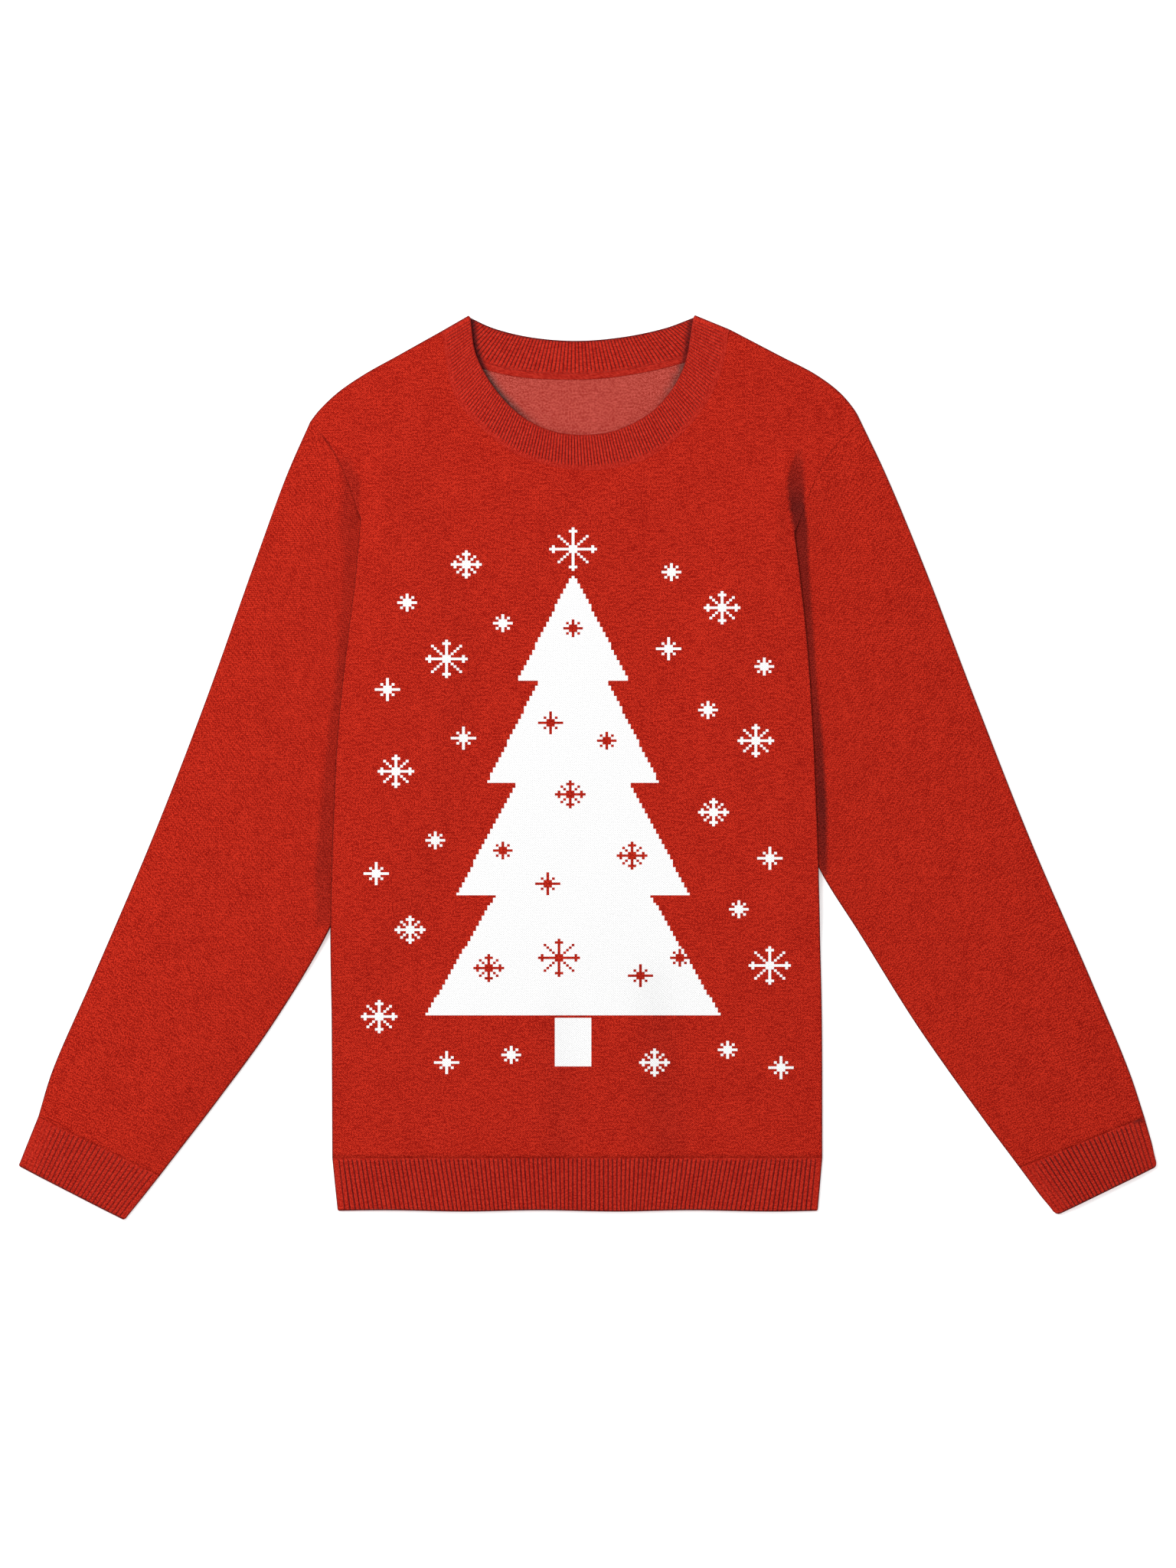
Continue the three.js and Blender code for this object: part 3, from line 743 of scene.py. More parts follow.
def build_stitch_group() -> bpy.types.NodeTree:
    """Fine knit: dark pits in a diagonal lattice, heathered yarn and slow streaks along the courses."""
    group, net, entry, leave = new_group(
        "FineKnit",
        [
            ("Knit", "NodeSocketVector", None),
            ("Stitch Width", "NodeSocketFloat", 0.0019),
            ("Stitch Height", "NodeSocketFloat", 0.0017),
        ],
        [("Pit", "NodeSocketFloat"), ("Heather", "NodeSocketFloat"), ("Height", "NodeSocketFloat")],
    )
    warp = net.add("ShaderNodeTexNoise", {"Vector": entry["Knit"], "Scale": 160.0, "Detail": 1.0})
    sway = net.math("MULTIPLY", net.math("SUBTRACT", warp.outputs[0], 0.5), 0.0016)
    split = net.add("ShaderNodeSeparateXYZ", {0: entry["Knit"]})
    across = net.math("DIVIDE", net.math("ADD", split.outputs[0], sway), entry["Stitch Width"])
    along = net.math("DIVIDE", net.math("ADD", split.outputs[1], sway), entry["Stitch Height"])
    wave_across = net.math("COSINE", net.math("MULTIPLY", across, 2 * math.pi))
    wave_along = net.math("COSINE", net.math("MULTIPLY", along, 2 * math.pi))
    lattice = net.math("MULTIPLY", wave_across, wave_along)
    grain = net.add("ShaderNodeTexNoise", {"Vector": entry["Knit"], "Scale": 900.0, "Detail": 2.0})
    rough = net.math("MULTIPLY", net.math("SUBTRACT", grain.outputs[0], 0.5), 1.6)
    pit = net.remap(net.math("ADD", lattice, rough), 0.1, 1.0)
    stretched = net.add("ShaderNodeMapping", {"Vector": entry["Knit"], "Scale": STREAK_SCALE})
    streak = net.add("ShaderNodeTexNoise", {"Vector": stretched.outputs[0], "Scale": 1.0, "Detail": 2.0})
    speck = net.add("ShaderNodeTexNoise", {"Vector": entry["Knit"], "Scale": SPECK_SCALE, "Detail": 1.0})
    cloud = net.add("ShaderNodeTexNoise", {"Vector": entry["Knit"], "Scale": CLOUD_SCALE, "Detail": 3.0})
    specks = net.math("MULTIPLY", speck.outputs[0], SPECK_WEIGHT)
    fine = net.math("ADD", specks, net.math("MULTIPLY", streak.outputs[0], STREAK_WEIGHT))
    heather = net.math("ADD", fine, net.math("MULTIPLY", cloud.outputs[0], CLOUD_WEIGHT))
    net.feed(leave.inputs["Pit"], pit)
    net.feed(leave.inputs["Heather"], net.remap(heather, *HEATHER_RANGE))
    net.feed(leave.inputs["Height"], net.math("SUBTRACT", net.math("MULTIPLY", grain.outputs[0], 0.4), pit))
    return group


def build_yarn_group() -> bpy.types.NodeTree:
    """Yarn colour from a light and a deep tone, the pits between stitches and the shade of tucks."""
    group, net, entry, leave = new_group(
        "YarnColour",
        [
            ("Light", "NodeSocketColor", (1, 1, 1, 1)),
            ("Deep", "NodeSocketColor", (1, 1, 1, 1)),
            ("Pit Colour", "NodeSocketColor", (0, 0, 0, 1)),
            ("Shade Tint", "NodeSocketColor", (0, 0, 0, 1)),
            ("Pit", "NodeSocketFloat", 0.0),
            ("Heather", "NodeSocketFloat", 0.5),
            ("Shade", "NodeSocketFloat", 0.0),
        ],
        [("Colour", "NodeSocketColor")],
    )
    yarn = net.blend(entry["Heather"], entry["Deep"], entry["Light"])
    pitted = net.blend(entry["Pit"], yarn, entry["Pit Colour"])
    dark = net.blend(1.0, pitted, entry["Shade Tint"], "MULTIPLY")
    net.feed(leave.inputs["Colour"], net.blend(entry["Shade"], pitted, dark))
    return group


def build_flake_group() -> bpy.types.NodeTree:
    """A small eight-armed snowflake on chart squares, one square wide, with a barb near each arm's end."""
    group, net, entry, leave = new_group(
        "ChartFlake",
        [
            ("X", "NodeSocketFloat", 0.0),
            ("Y", "NodeSocketFloat", 0.0),
            ("Centre X", "NodeSocketFloat", 0.0),
            ("Centre Y", "NodeSocketFloat", 0.0),
            ("Arm", "NodeSocketFloat", 4.0),
        ],
        [("Mask", "NodeSocketFloat")],
    )
    off_x = net.math("ABSOLUTE", net.math("SUBTRACT", entry["X"], entry["Centre X"]))
    off_y = net.math("ABSOLUTE", net.math("SUBTRACT", entry["Y"], entry["Centre Y"]))
    small = net.math("MINIMUM", off_x, off_y)
    large = net.math("MAXIMUM", off_x, off_y)
    arm = net.math("ADD", entry["Arm"], 0.5)
    in_arm = net.math("LESS_THAN", large, arm)
    straight = net.math("MULTIPLY", net.math("LESS_THAN", small, 0.5), in_arm)
    short = net.math("LESS_THAN", large, net.math("MULTIPLY", entry["Arm"], 0.72))
    slanted = net.math("MULTIPLY", net.math("LESS_THAN", net.math("SUBTRACT", large, small), 0.5), short)
    beside = net.math("LESS_THAN", net.math("ABSOLUTE", net.math("SUBTRACT", small, 1.0)), 0.5)
    from_barb = net.math("SUBTRACT", large, net.math("SUBTRACT", entry["Arm"], 1.0))
    near_end = net.math("LESS_THAN", net.math("ABSOLUTE", from_barb), 0.5)
    is_long = net.math("GREATER_THAN", entry["Arm"], 4.5)
    barb = net.math("MULTIPLY", net.math("MULTIPLY", beside, near_end), is_long)
    net.feed(leave.inputs["Mask"], net.math("MAXIMUM", net.math("MAXIMUM", straight, slanted), barb))
    return group


def build_tier_group() -> bpy.types.NodeTree:
    """One tier of a fir tree on chart squares: a triangle that widens from its top to its bottom."""
    group, net, entry, leave = new_group(
        "ChartTier",
        [
            ("X", "NodeSocketFloat", 0.0),
            ("Y", "NodeSocketFloat", 0.0),
            ("Top", "NodeSocketFloat", 0.0),
            ("Bottom", "NodeSocketFloat", 0.0),
            ("Top Half", "NodeSocketFloat", 0.0),
            ("Bottom Half", "NodeSocketFloat", 0.0),
        ],
        [("Mask", "NodeSocketFloat")],
    )
    span = net.math("SUBTRACT", entry["Top"], entry["Bottom"])
    down = net.math("DIVIDE", net.math("SUBTRACT", entry["Top"], entry["Y"]), span)
    widening = net.math("SUBTRACT", entry["Bottom Half"], entry["Top Half"])
    half = net.math("ADD", entry["Top Half"], net.math("MULTIPLY", down, widening))
    within = net.math("LESS_THAN", net.math("ABSOLUTE", entry["X"]), half)
    below_top = net.math("LESS_THAN", entry["Y"], entry["Top"])
    over_bottom = net.math("GREATER_THAN", entry["Y"], entry["Bottom"])
    net.feed(leave.inputs["Mask"], net.math("MULTIPLY", within, net.math("MULTIPLY", below_top, over_bottom)))
    return group


@dataclass(frozen=True)
class YarnTone:
    """Colours of one yarn in linear light."""

    light: tuple[float, float, float]
    deep: tuple[float, float, float]
    pit: tuple[float, float, float]
    shade_tint: tuple[float, float, float] = (0.03, 0.3, 0.8)


RED_YARN = YarnTone((0.65, 0.0325, 0.0135), (0.29, 0.0062, 0.0026), (0.22, 0.0036, 0.0018))
SLEEVE_YARN = YarnTone((0.67, 0.0335, 0.0137), (0.265, 0.0053, 0.0022), (0.205, 0.0032, 0.0016))
RIB_YARN = YarnTone((0.645, 0.035, 0.0165), (0.35, 0.009, 0.004), (0.275, 0.007, 0.004))
# The collar's yarn is the red yarn made lighter: a painted highlight on the rib crests beside the painted
# groove shade
LIT_COLLAR_YARN = YarnTone((0.74, 0.041, 0.020), (0.41, 0.011, 0.005), (0.27, 0.0065, 0.004))
INSIDE_YARN = YarnTone((0.63, 0.108, 0.083), (0.35, 0.035, 0.024), (0.24, 0.015, 0.01), (0.03, 0.7, 0.85))
WHITE_YARN = YarnTone((1.0, 1.0, 1.0), (0.97, 0.97, 0.97), (0.7, 0.7, 0.7), (0.5, 0.5, 0.5))


@dataclass(frozen=True)
class KnitFinish:
    """A knitted finish: its yarn, its stitch size in metres and how deep its stitches are."""

    name: str
    yarn: YarnTone
    stitch: tuple[float, float] = (0.0019, 0.0017)
    depth: float = 0.00035
    roughness: float = 0.95
    sheen: float = 0.06

    def build(
        self, groups: dict[str, bpy.types.NodeTree], design: "FirDesign | None" = None,
    ) -> bpy.types.Material:
        """Makes the material.

        Args:
            groups: the shared node groups by name.
            design: a charted design in a second yarn, if the piece has one.

        Returns:
            The material.
        """
        material = bpy.data.materials.new(self.name)
        material.use_nodes = True
        net = Net(material.node_tree)
        shader = material.node_tree.nodes["Principled BSDF"]
        knit = net.add("ShaderNodeUVMap", uv_map="Knit").outputs[0]
        shade = net.add("ShaderNodeAttribute", attribute_name="shade").outputs["Fac"]
        stitch = net.add("ShaderNodeGroup", node_tree=groups["FineKnit"])
        net.feed(stitch.inputs["Knit"], knit)
        net.feed(stitch.inputs["Stitch Width"], self.stitch[0])
        net.feed(stitch.inputs["Stitch Height"], self.stitch[1])
        colour = self.colour(net, groups, self.yarn, stitch, shade)
        if design is not None:
            white = self.colour(net, groups, design.yarn, stitch, shade)
            colour = net.blend(design.mask(net, groups, knit), colour, white)
        net.feed(shader.inputs["Base Color"], colour)
        relief = {"Height": stitch.outputs["Height"], "Strength": 0.6, "Distance": self.depth}
        bump = net.add("ShaderNodeBump", relief)
        net.feed(shader.inputs["Normal"], bump.outputs[0])
        shader.inputs["Roughness"].default_value = self.roughness
        shader.inputs["Specular IOR Level"].default_value = 0.08
        shader.inputs["Sheen Weight"].default_value = self.sheen
        shader.inputs["Sheen Roughness"].default_value = 0.5
        shader.inputs["Sheen Tint"].default_value = (*self.yarn.light, 1)
        return material

    @staticmethod
    def colour(net: Net, groups: dict, yarn: YarnTone, stitch: bpy.types.Node, shade: object) -> object:
        """Colour of one yarn in this knit.

        Args:
            net: the material's net.
            groups: the shared node groups.
            yarn: the yarn's tones.
            stitch: the stitch group's node.
            shade: how dark the place is.

        Returns:
            The colour's socket.
        """
        node = net.add("ShaderNodeGroup", node_tree=groups["YarnColour"])
        values = {
            "Light": (*yarn.light, 1),
            "Deep": (*yarn.deep, 1),
            "Pit Colour": (*yarn.pit, 1),
            "Shade Tint": (*yarn.shade_tint, 1),
            "Pit": stitch.outputs["Pit"],
            "Heather": stitch.outputs["Heather"],
            "Shade": shade,
        }
        for key, value in values.items():
            net.feed(node.inputs[key], value)
        return node.outputs[0]


@dataclass(frozen=True)
class Flake:
    """A snowflake's place in millimetres and its arm in chart squares."""

    x: float
    y: float
    arm: int


@dataclass(frozen=True)
class Tier:
    """A tier of the fir tree in millimetres."""

    top: float
    bottom: float
    top_half: float
    bottom_half: float


@dataclass
class FirDesign:
    """A generic charted design: a tiered fir tree with snowflakes in it and round it."""

    yarn: YarnTone = WHITE_YARN
    square: tuple[float, float] = (2.2, 2.0)
    middle: float = -12.0
    tiers: list[Tier] = field(default_factory=lambda: [
        Tier(150, 66, 1, 44),
        Tier(88, -14, 16, 68),
        Tier(14, -102, 30, 92),
        Tier(-72, -196, 44, 116),
        Tier(-196, -236, 15, 15),
    ])
    red_flakes: list[Flake] = field(default_factory=lambda: [
        Flake(-12, 108, 3),
        Flake(-30, 34, 4),
        Flake(14, 20, 3),
        Flake(-14, -22, 5),
        Flake(-66, -66, 3),
        Flake(34, -70, 5),
        Flake(-32, -92, 4),
        Flake(-78, -158, 5),
        Flake(-24, -150, 7),
        Flake(40, -164, 4),
        Flake(72, -150, 3),
    ])
    white_flakes: list[Flake] = field(default_factory=lambda: [
        Flake(-12, 170, 8),
        Flake(-96, 158, 5),
        Flake(-142, 128, 3),
        Flake(-66, 112, 3),
        Flake(-112, 84, 7),
        Flake(-158, 60, 4),
        Flake(-98, 22, 4),
        Flake(-150, -4, 6),
        Flake(-120, -58, 3),
        Flake(-166, -84, 4),
        Flake(-140, -128, 5),
        Flake(-164, -196, 6),
        Flake(-112, -232, 4),
        Flake(-60, -226, 3),
        Flake(66, 152, 3),
        Flake(104, 124, 6),
        Flake(62, 92, 4),
        Flake(138, 78, 3),
        Flake(94, 44, 3),
        Flake(132, 20, 6),
        Flake(98, -36, 5),
        Flake(142, -72, 4),
        Flake(118, -112, 3),
        Flake(142, -156, 7),
        Flake(108, -222, 3),
        Flake(52, -232, 5),
        Flake(150, -236, 4),
    ])

    def mask(self, net: Net, groups: dict[str, bpy.types.NodeTree], knit: object) -> object:
        """Where the second yarn is, from the knit coordinates.

        Args:
            net: the material's net.
            groups: the shared node groups.
            knit: knit coordinates in metres.

        Returns:
            The mask's socket.
        """
        split = net.add("ShaderNodeSeparateXYZ", {0: knit})
        width, height = (size * MM for size in self.square)
        from_middle = net.math("SUBTRACT", split.outputs[0], self.middle * MM)
        x = net.math("FLOOR", net.math("ADD", net.math("DIVIDE", from_middle, width), 0.5))
        y = net.math("FLOOR", net.math("DIVIDE", split.outputs[1], height))
        tree = 0.0
        for tier in self.tiers:
            rows = {
                "X": x,
                "Y": y,
                "Top": tier.top / self.square[1],
                "Bottom": tier.bottom / self.square[1],
                "Top Half": tier.top_half / self.square[0],
                "Bottom Half": tier.bottom_half / self.square[0],
            }
            tree = net.math("MAXIMUM", tree, self.placed(net, groups["ChartTier"], rows))
        holes = self.flakes(net, groups, self.red_flakes, x, y)
        snow = self.flakes(net, groups, self.white_flakes, x, y)
        return net.math("MAXIMUM", net.math("MULTIPLY", tree, net.math("SUBTRACT", 1.0, holes)), snow)

    @staticmethod
    def placed(net: Net, group: bpy.types.NodeTree, values: dict) -> object:
        """A group's mask with these inputs."""
        node = net.add("ShaderNodeGroup", node_tree=group)
        for key, value in values.items():
            net.feed(node.inputs[key], value)
        return node.outputs[0]

    def flakes(self, net: Net, groups: dict, flakes: list[Flake], x: object, y: object) -> object:
        """Mask of several snowflakes.

        Args:
            net: the material's net.
            groups: the shared node groups.
            flakes: the snowflakes.
            x: chart column of the place.
            y: chart row of the place.

        Returns:
            The mask's socket, or zero if there are none.
        """
        mask = 0.0
        for flake in flakes:
            values = {
                "X": x,
                "Y": y,
                "Centre X": float(round((flake.x - self.middle) / self.square[0])),
                "Centre Y": float(round(flake.y / self.square[1])),
                "Arm": float(flake.arm),
            }
            mask = net.math("MAXIMUM", mask, self.placed(net, groups["ChartFlake"], values))
        return mask


@dataclass
class Finishes:
    """Every finish of the sweater, made once."""

    body: bpy.types.Material
    back: bpy.types.Material
    sleeve: bpy.types.Material
    rib: bpy.types.Material
    collar: bpy.types.Material
    inside: bpy.types.Material

    @classmethod
    def build(cls) -> "Finishes":
        """Makes the node groups and the materials."""
        made = (build_stitch_group(), build_yarn_group(), build_flake_group(), build_tier_group())
        groups = {group.name: group for group in made}
        rib_stitch = (0.00175, 0.0015)
        return cls(
            body=KnitFinish("red_knit_with_fir", RED_YARN).build(groups, FirDesign()),
            back=KnitFinish("red_knit_plain", RED_YARN).build(groups),
            sleeve=KnitFinish("red_knit_sleeve", SLEEVE_YARN).build(groups),
            rib=KnitFinish("red_rib", RIB_YARN, stitch=rib_stitch).build(groups),
            collar=KnitFinish("red_collar_rib", LIT_COLLAR_YARN, stitch=(0.00125, 0.0014)).build(groups),
            inside=KnitFinish("red_knit_inside", INSIDE_YARN, stitch=(0.0016, 0.0013)).build(groups),
        )


def finish_piece(piece: bpy.types.Object, node: str) -> None:
    """Puts a piece on the body in place of its plain solid.

    Args:
        piece: the cloth piece.
        node: the solid that it replaces.
    """
    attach(piece, "root")
    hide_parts(node)
    log.info("%s: %d faces", piece.name, len(piece.data.polygons))


def collar_outward(end: int) -> np.ndarray:
    """The way a fold of the collar points, outside its end."""
    along = unit(np.array(COLLAR_FRONT_EDGE[end]) - np.array(COLLAR_FRONT_SEAM[end]))
    across = np.array([-along[1], along[0]])
    return across if across[1] > 0 else -across


@dataclass
class BodyPanel:
    """Front or back of the body: the shared outline and the grid of columns that fills it."""

    neck_seam: list[tuple[float, float]]
    cell: float
    edge_stops: tuple[float, ...] = (0, 0.12, 0.5, 1.1, 2.0, 3.4)
    rows_below: int = field(init=False)

    def stops(self, length: float) -> np.ndarray:
        """Distances from an edge: close at first, then one cell apart."""
        fine = np.array(self.edge_stops)
        steps = max(round((length - fine[-1]) / self.cell), 1)
        return np.concatenate([fine, np.linspace(fine[-1], length, steps + 1)[1:]])

    def outline(self) -> None:
        """Works out the sides and the top edge."""
        radius = COLLAR_HEIGHT / 2
        seam = SmoothLine(self.neck_seam)
        neck = seam.spaced(round(seam.length / self.cell))
        first = neck[:1] + collar_outward(0) * radius
        last = neck[-1:] + collar_outward(-1) * radius
        neck = offset_line(np.vstack([first, neck, last]), -SEAM)
        tops = {}
        flanks = {}
        for side in Side:
            lines = LINES[side]
            corner = neck[0] if side is Side.LEFT else neck[-1]
            seen = offset_line(lines.seen.spaced(40), side.inward * SEAM / 2)
            shoulder = SmoothLine(np.vstack([corner[None], side.edge(SHOULDER_LINE), seen[:1]]))
            stops = self.stops(shoulder.length)
            tops[side] = shoulder.at(1 - stops / shoulder.length)
            armhole = SmoothLine(seen)
            up_stops = self.stops(armhole.length)
            side_steps = round(lines.body_side.length / self.cell)
            below = lines.body_side.spaced(side_steps)[::-1]
            flanks[side] = np.vstack([below[:-1], armhole.at(up_stops[::-1] / armhole.length)])
            if side is Side.LEFT:
                self.rows_below = side_steps
                left_rows = (side_steps, len(up_stops))
            else:
                flanks[side] = self.same_rows(lines, armhole, *left_rows)
        self.neck = neck
        self.shoulders = tops
        self.left = flanks[Side.LEFT]
        self.right = flanks[Side.RIGHT]
        self.top = np.vstack([tops[Side.LEFT], neck[1:-1], tops[Side.RIGHT][::-1]])
        self.corners = (len(tops[Side.LEFT]) - 1, len(self.top) - len(tops[Side.RIGHT]))

    def same_rows(self, lines: SideLines, armhole: SmoothLine, side_steps: int, arm_stops: int) -> np.ndarray:
        """The right flank with as many points as the left one.

        Args:
            lines: the right side's lines.
            armhole: the part of the armhole that shows.
            side_steps: steps down the body's side.
            arm_stops: points up the armhole.

        Returns:
            The flank's points from the hem up.
        """
        fine = np.array(self.edge_stops)
        rest = np.linspace(fine[-1], armhole.length, arm_stops - len(fine) + 1)[1:]
        stops = np.concatenate([fine, rest])
        below = lines.body_side.spaced(side_steps)[::-1]
        return np.vstack([below[:-1], armhole.at(stops[::-1] / armhole.length)])

    @staticmethod
    def shares(points: np.ndarray) -> np.ndarray:
        """Length along a line as shares of its whole."""
        runs = np.concatenate([[0], np.cumsum(np.linalg.norm(np.diff(points, axis=0), axis=1))])
        return runs / runs[-1]

    def grid(self) -> np.ndarray:
        """Places of the grid as rows, columns, x and y."""
        self.outline()
        across = self.shares(self.top)
        up = self.shares(self.left)
        bottom = lerp(self.left[:1], self.right[:1], across[:, None])
        straight = lerp(bottom[None], self.top[None], up[:, None, None])
        by_left = 1 - smooth(0, across[self.corners[0]], across)
        by_right = 1 - smooth(0, 1 - across[self.corners[1]], 1 - across)
        bends = [edge - lerp(edge[:1], edge[-1:], up[:, None]) for edge in (self.left, self.right)]
        by_flank = (by_left[None, :, None], by_right[None, :, None])
        return straight + bends[0][:, None] * by_flank[0] + bends[1][:, None] * by_flank[1]


@dataclass
class FrontPanel:
    """The front: lifted over the tucked sleeves, with soft folds, rolled edges and the charted design."""

    cell: float = 3.5

    def build(self, finishes: Finishes) -> bpy.types.Object:
        """Args:
            finishes: the sweater's materials.

        Returns:
            The piece.
        """
        panel = BodyPanel(COLLAR_FRONT_SEAM, self.cell)
        grid = panel.grid()
        rows, columns = grid.shape[:2]
        flat = grid.reshape(-1, 2)
        shape = (rows, columns)
        sideways = np.minimum(
            np.linalg.norm(grid - panel.left[:, None], axis=2),
            np.linalg.norm(grid - panel.right[:, None], axis=2),
        )
        to_neck = distance_to_line(flat, panel.neck).reshape(shape)
        to_shoulders = [distance_to_line(flat, panel.shoulders[side]) for side in Side]
        to_shoulder = np.minimum(*to_shoulders).reshape(shape)
        fold, shade = self.folds(flat)
        fold = fold.reshape(shape)
        tuck = nearest_tuck(flat).reshape(shape)
        run = np.clip((rows - 1 - np.arange(rows)) / (rows - 1 - panel.rows_below), 0, 1)[:, None]
        edge_loft = ARMHOLE_LOFT * 4 * run * (1 - run)
        rim_loft = NECK_LOFT * smooth(0, 14, to_shoulder)
        upwards = np.minimum(to_neck, to_shoulder)
        middle = lerp(rim_loft, np.maximum(BODY_LOFT + fold, 0), smooth(0, LOFT_MARGIN, upwards))
        loft = lerp(edge_loft, middle, smooth(0, LOFT_MARGIN, sideways))
        crest = np.maximum(fold, 0) * smooth(0, CREST_MARGIN, sideways)
        cover = COVER_LIFT * lift_share(tuck, FRONT_REACH)
        inside = smooth(0, LOFT_MARGIN, np.minimum(sideways, upwards))
        height = TUCK_LIFT + WALL + cover + np.maximum(loft, crest) + ripple(grid) * inside
        is_side = (np.arange(rows) <= panel.rows_below)[:, None]
        rolled = np.where(is_side, np.minimum(sideways, to_shoulder), to_shoulder)
        height -= ROLL - np.sqrt(ROLL ** 2 - np.maximum(ROLL - rolled, 0) ** 2)
        seam = np.where(is_side, FAR, sideways)
        seam_depth, seam_shade = armhole_seam(grid, seam)
        height -= seam_depth
        height -= NECK_GROOVE * np.exp(-((to_neck / SEAM_WIDTH) ** 2))
        shade = shade.reshape(shape)
        shade = np.maximum(shade, tuck_shadow(flat).reshape(shape))
        shade = np.maximum(shade, EDGE_SHADE * np.exp(-((rolled / EDGE_SHADE_WIDTH) ** 2)))
        shade = np.maximum(shade, seam_shade)
        laid = Laid(np.dstack([grid, height]), grid * MM, shade)
        piece = make_cloth("front", laid, False, [finishes.body])
        add_wall(piece)
        finish_piece(piece, "front_panel")
        return piece

    @staticmethod
    def folds(places: np.ndarray) -> tuple[np.ndarray, np.ndarray]:
        """Soft folds of the laid front.

        Args:
            places: rows of x and y.

        Returns:
            Height in millimetres and shade that the folds add at each place.
        """
        height = np.zeros(len(places))
        shade = np.zeros(len(places))
        for fold in FRONT_FOLDS:
            distance = distance_to_line(places, np.array([fold.start, fold.end], float))
            share = np.exp(-((distance / fold.width) ** 2))
            height += fold.height * share
            shade = np.maximum(shade, fold.shade * share)
        return height, shade


def add_wall(piece: bpy.types.Object) -> None:
    """Gives a one-layer piece the thickness of the cloth, on the side away from its face."""
    wall = piece.modifiers.new("wall", "SOLIDIFY")
    wall.thickness = CLOTH * MM
    wall.offset = -1


def neck_shadow(places: np.ndarray) -> np.ndarray:
    """Shade that the front collar's free edge leaves on what lies under it, strong at the sides.

    Args:
        places: rows of x and y.

    Returns:
        The shade at each place.
    """
    distance = distance_to_line(places, SmoothLine(COLLAR_FRONT_EDGE).spaced(60))
    sides = np.maximum(0.74 * smooth(-32, -66, places[:, 0]), 0.6 * smooth(50, 74, places[:, 0]))
    return sides * (1 - smooth(2.2, 6.0, distance))


@dataclass
class BackPanel:
    """The back: one flat layer on the surface, its wrong side up."""

    cell: float = 5.0

    def build(self, finishes: Finishes) -> bpy.types.Object:
        """Args:
            finishes: the sweater's materials.

        Returns:
            The piece.
        """
        panel = BodyPanel(COLLAR_BACK_SEAM, self.cell)
        grid = panel.grid()[::-1]
        flat = grid.reshape(-1, 2)
        shape = grid.shape[:2]
        edges = [panel.left, panel.right, panel.shoulders[Side.LEFT], panel.shoulders[Side.RIGHT]]
        to_edge = np.min([distance_to_line(flat, edge) for edge in edges], axis=0).reshape(shape)
        height = ROLL - np.sqrt(ROLL ** 2 - np.maximum(ROLL - to_edge, 0) ** 2)
        edge_shade = BACK_EDGE_SHADE * np.exp(-((to_edge / EDGE_SHADE_WIDTH) ** 2))
        shade = np.maximum(edge_shade, neck_shadow(flat).reshape(shape))
        laid = Laid(np.dstack([grid, height]), grid * MM, shade)
        piece = make_cloth("back", laid, False, [finishes.back, finishes.inside])
        add_wall(piece)
        piece.modifiers["wall"].material_offset = 1
        finish_piece(piece, "back_panel")
        return piece


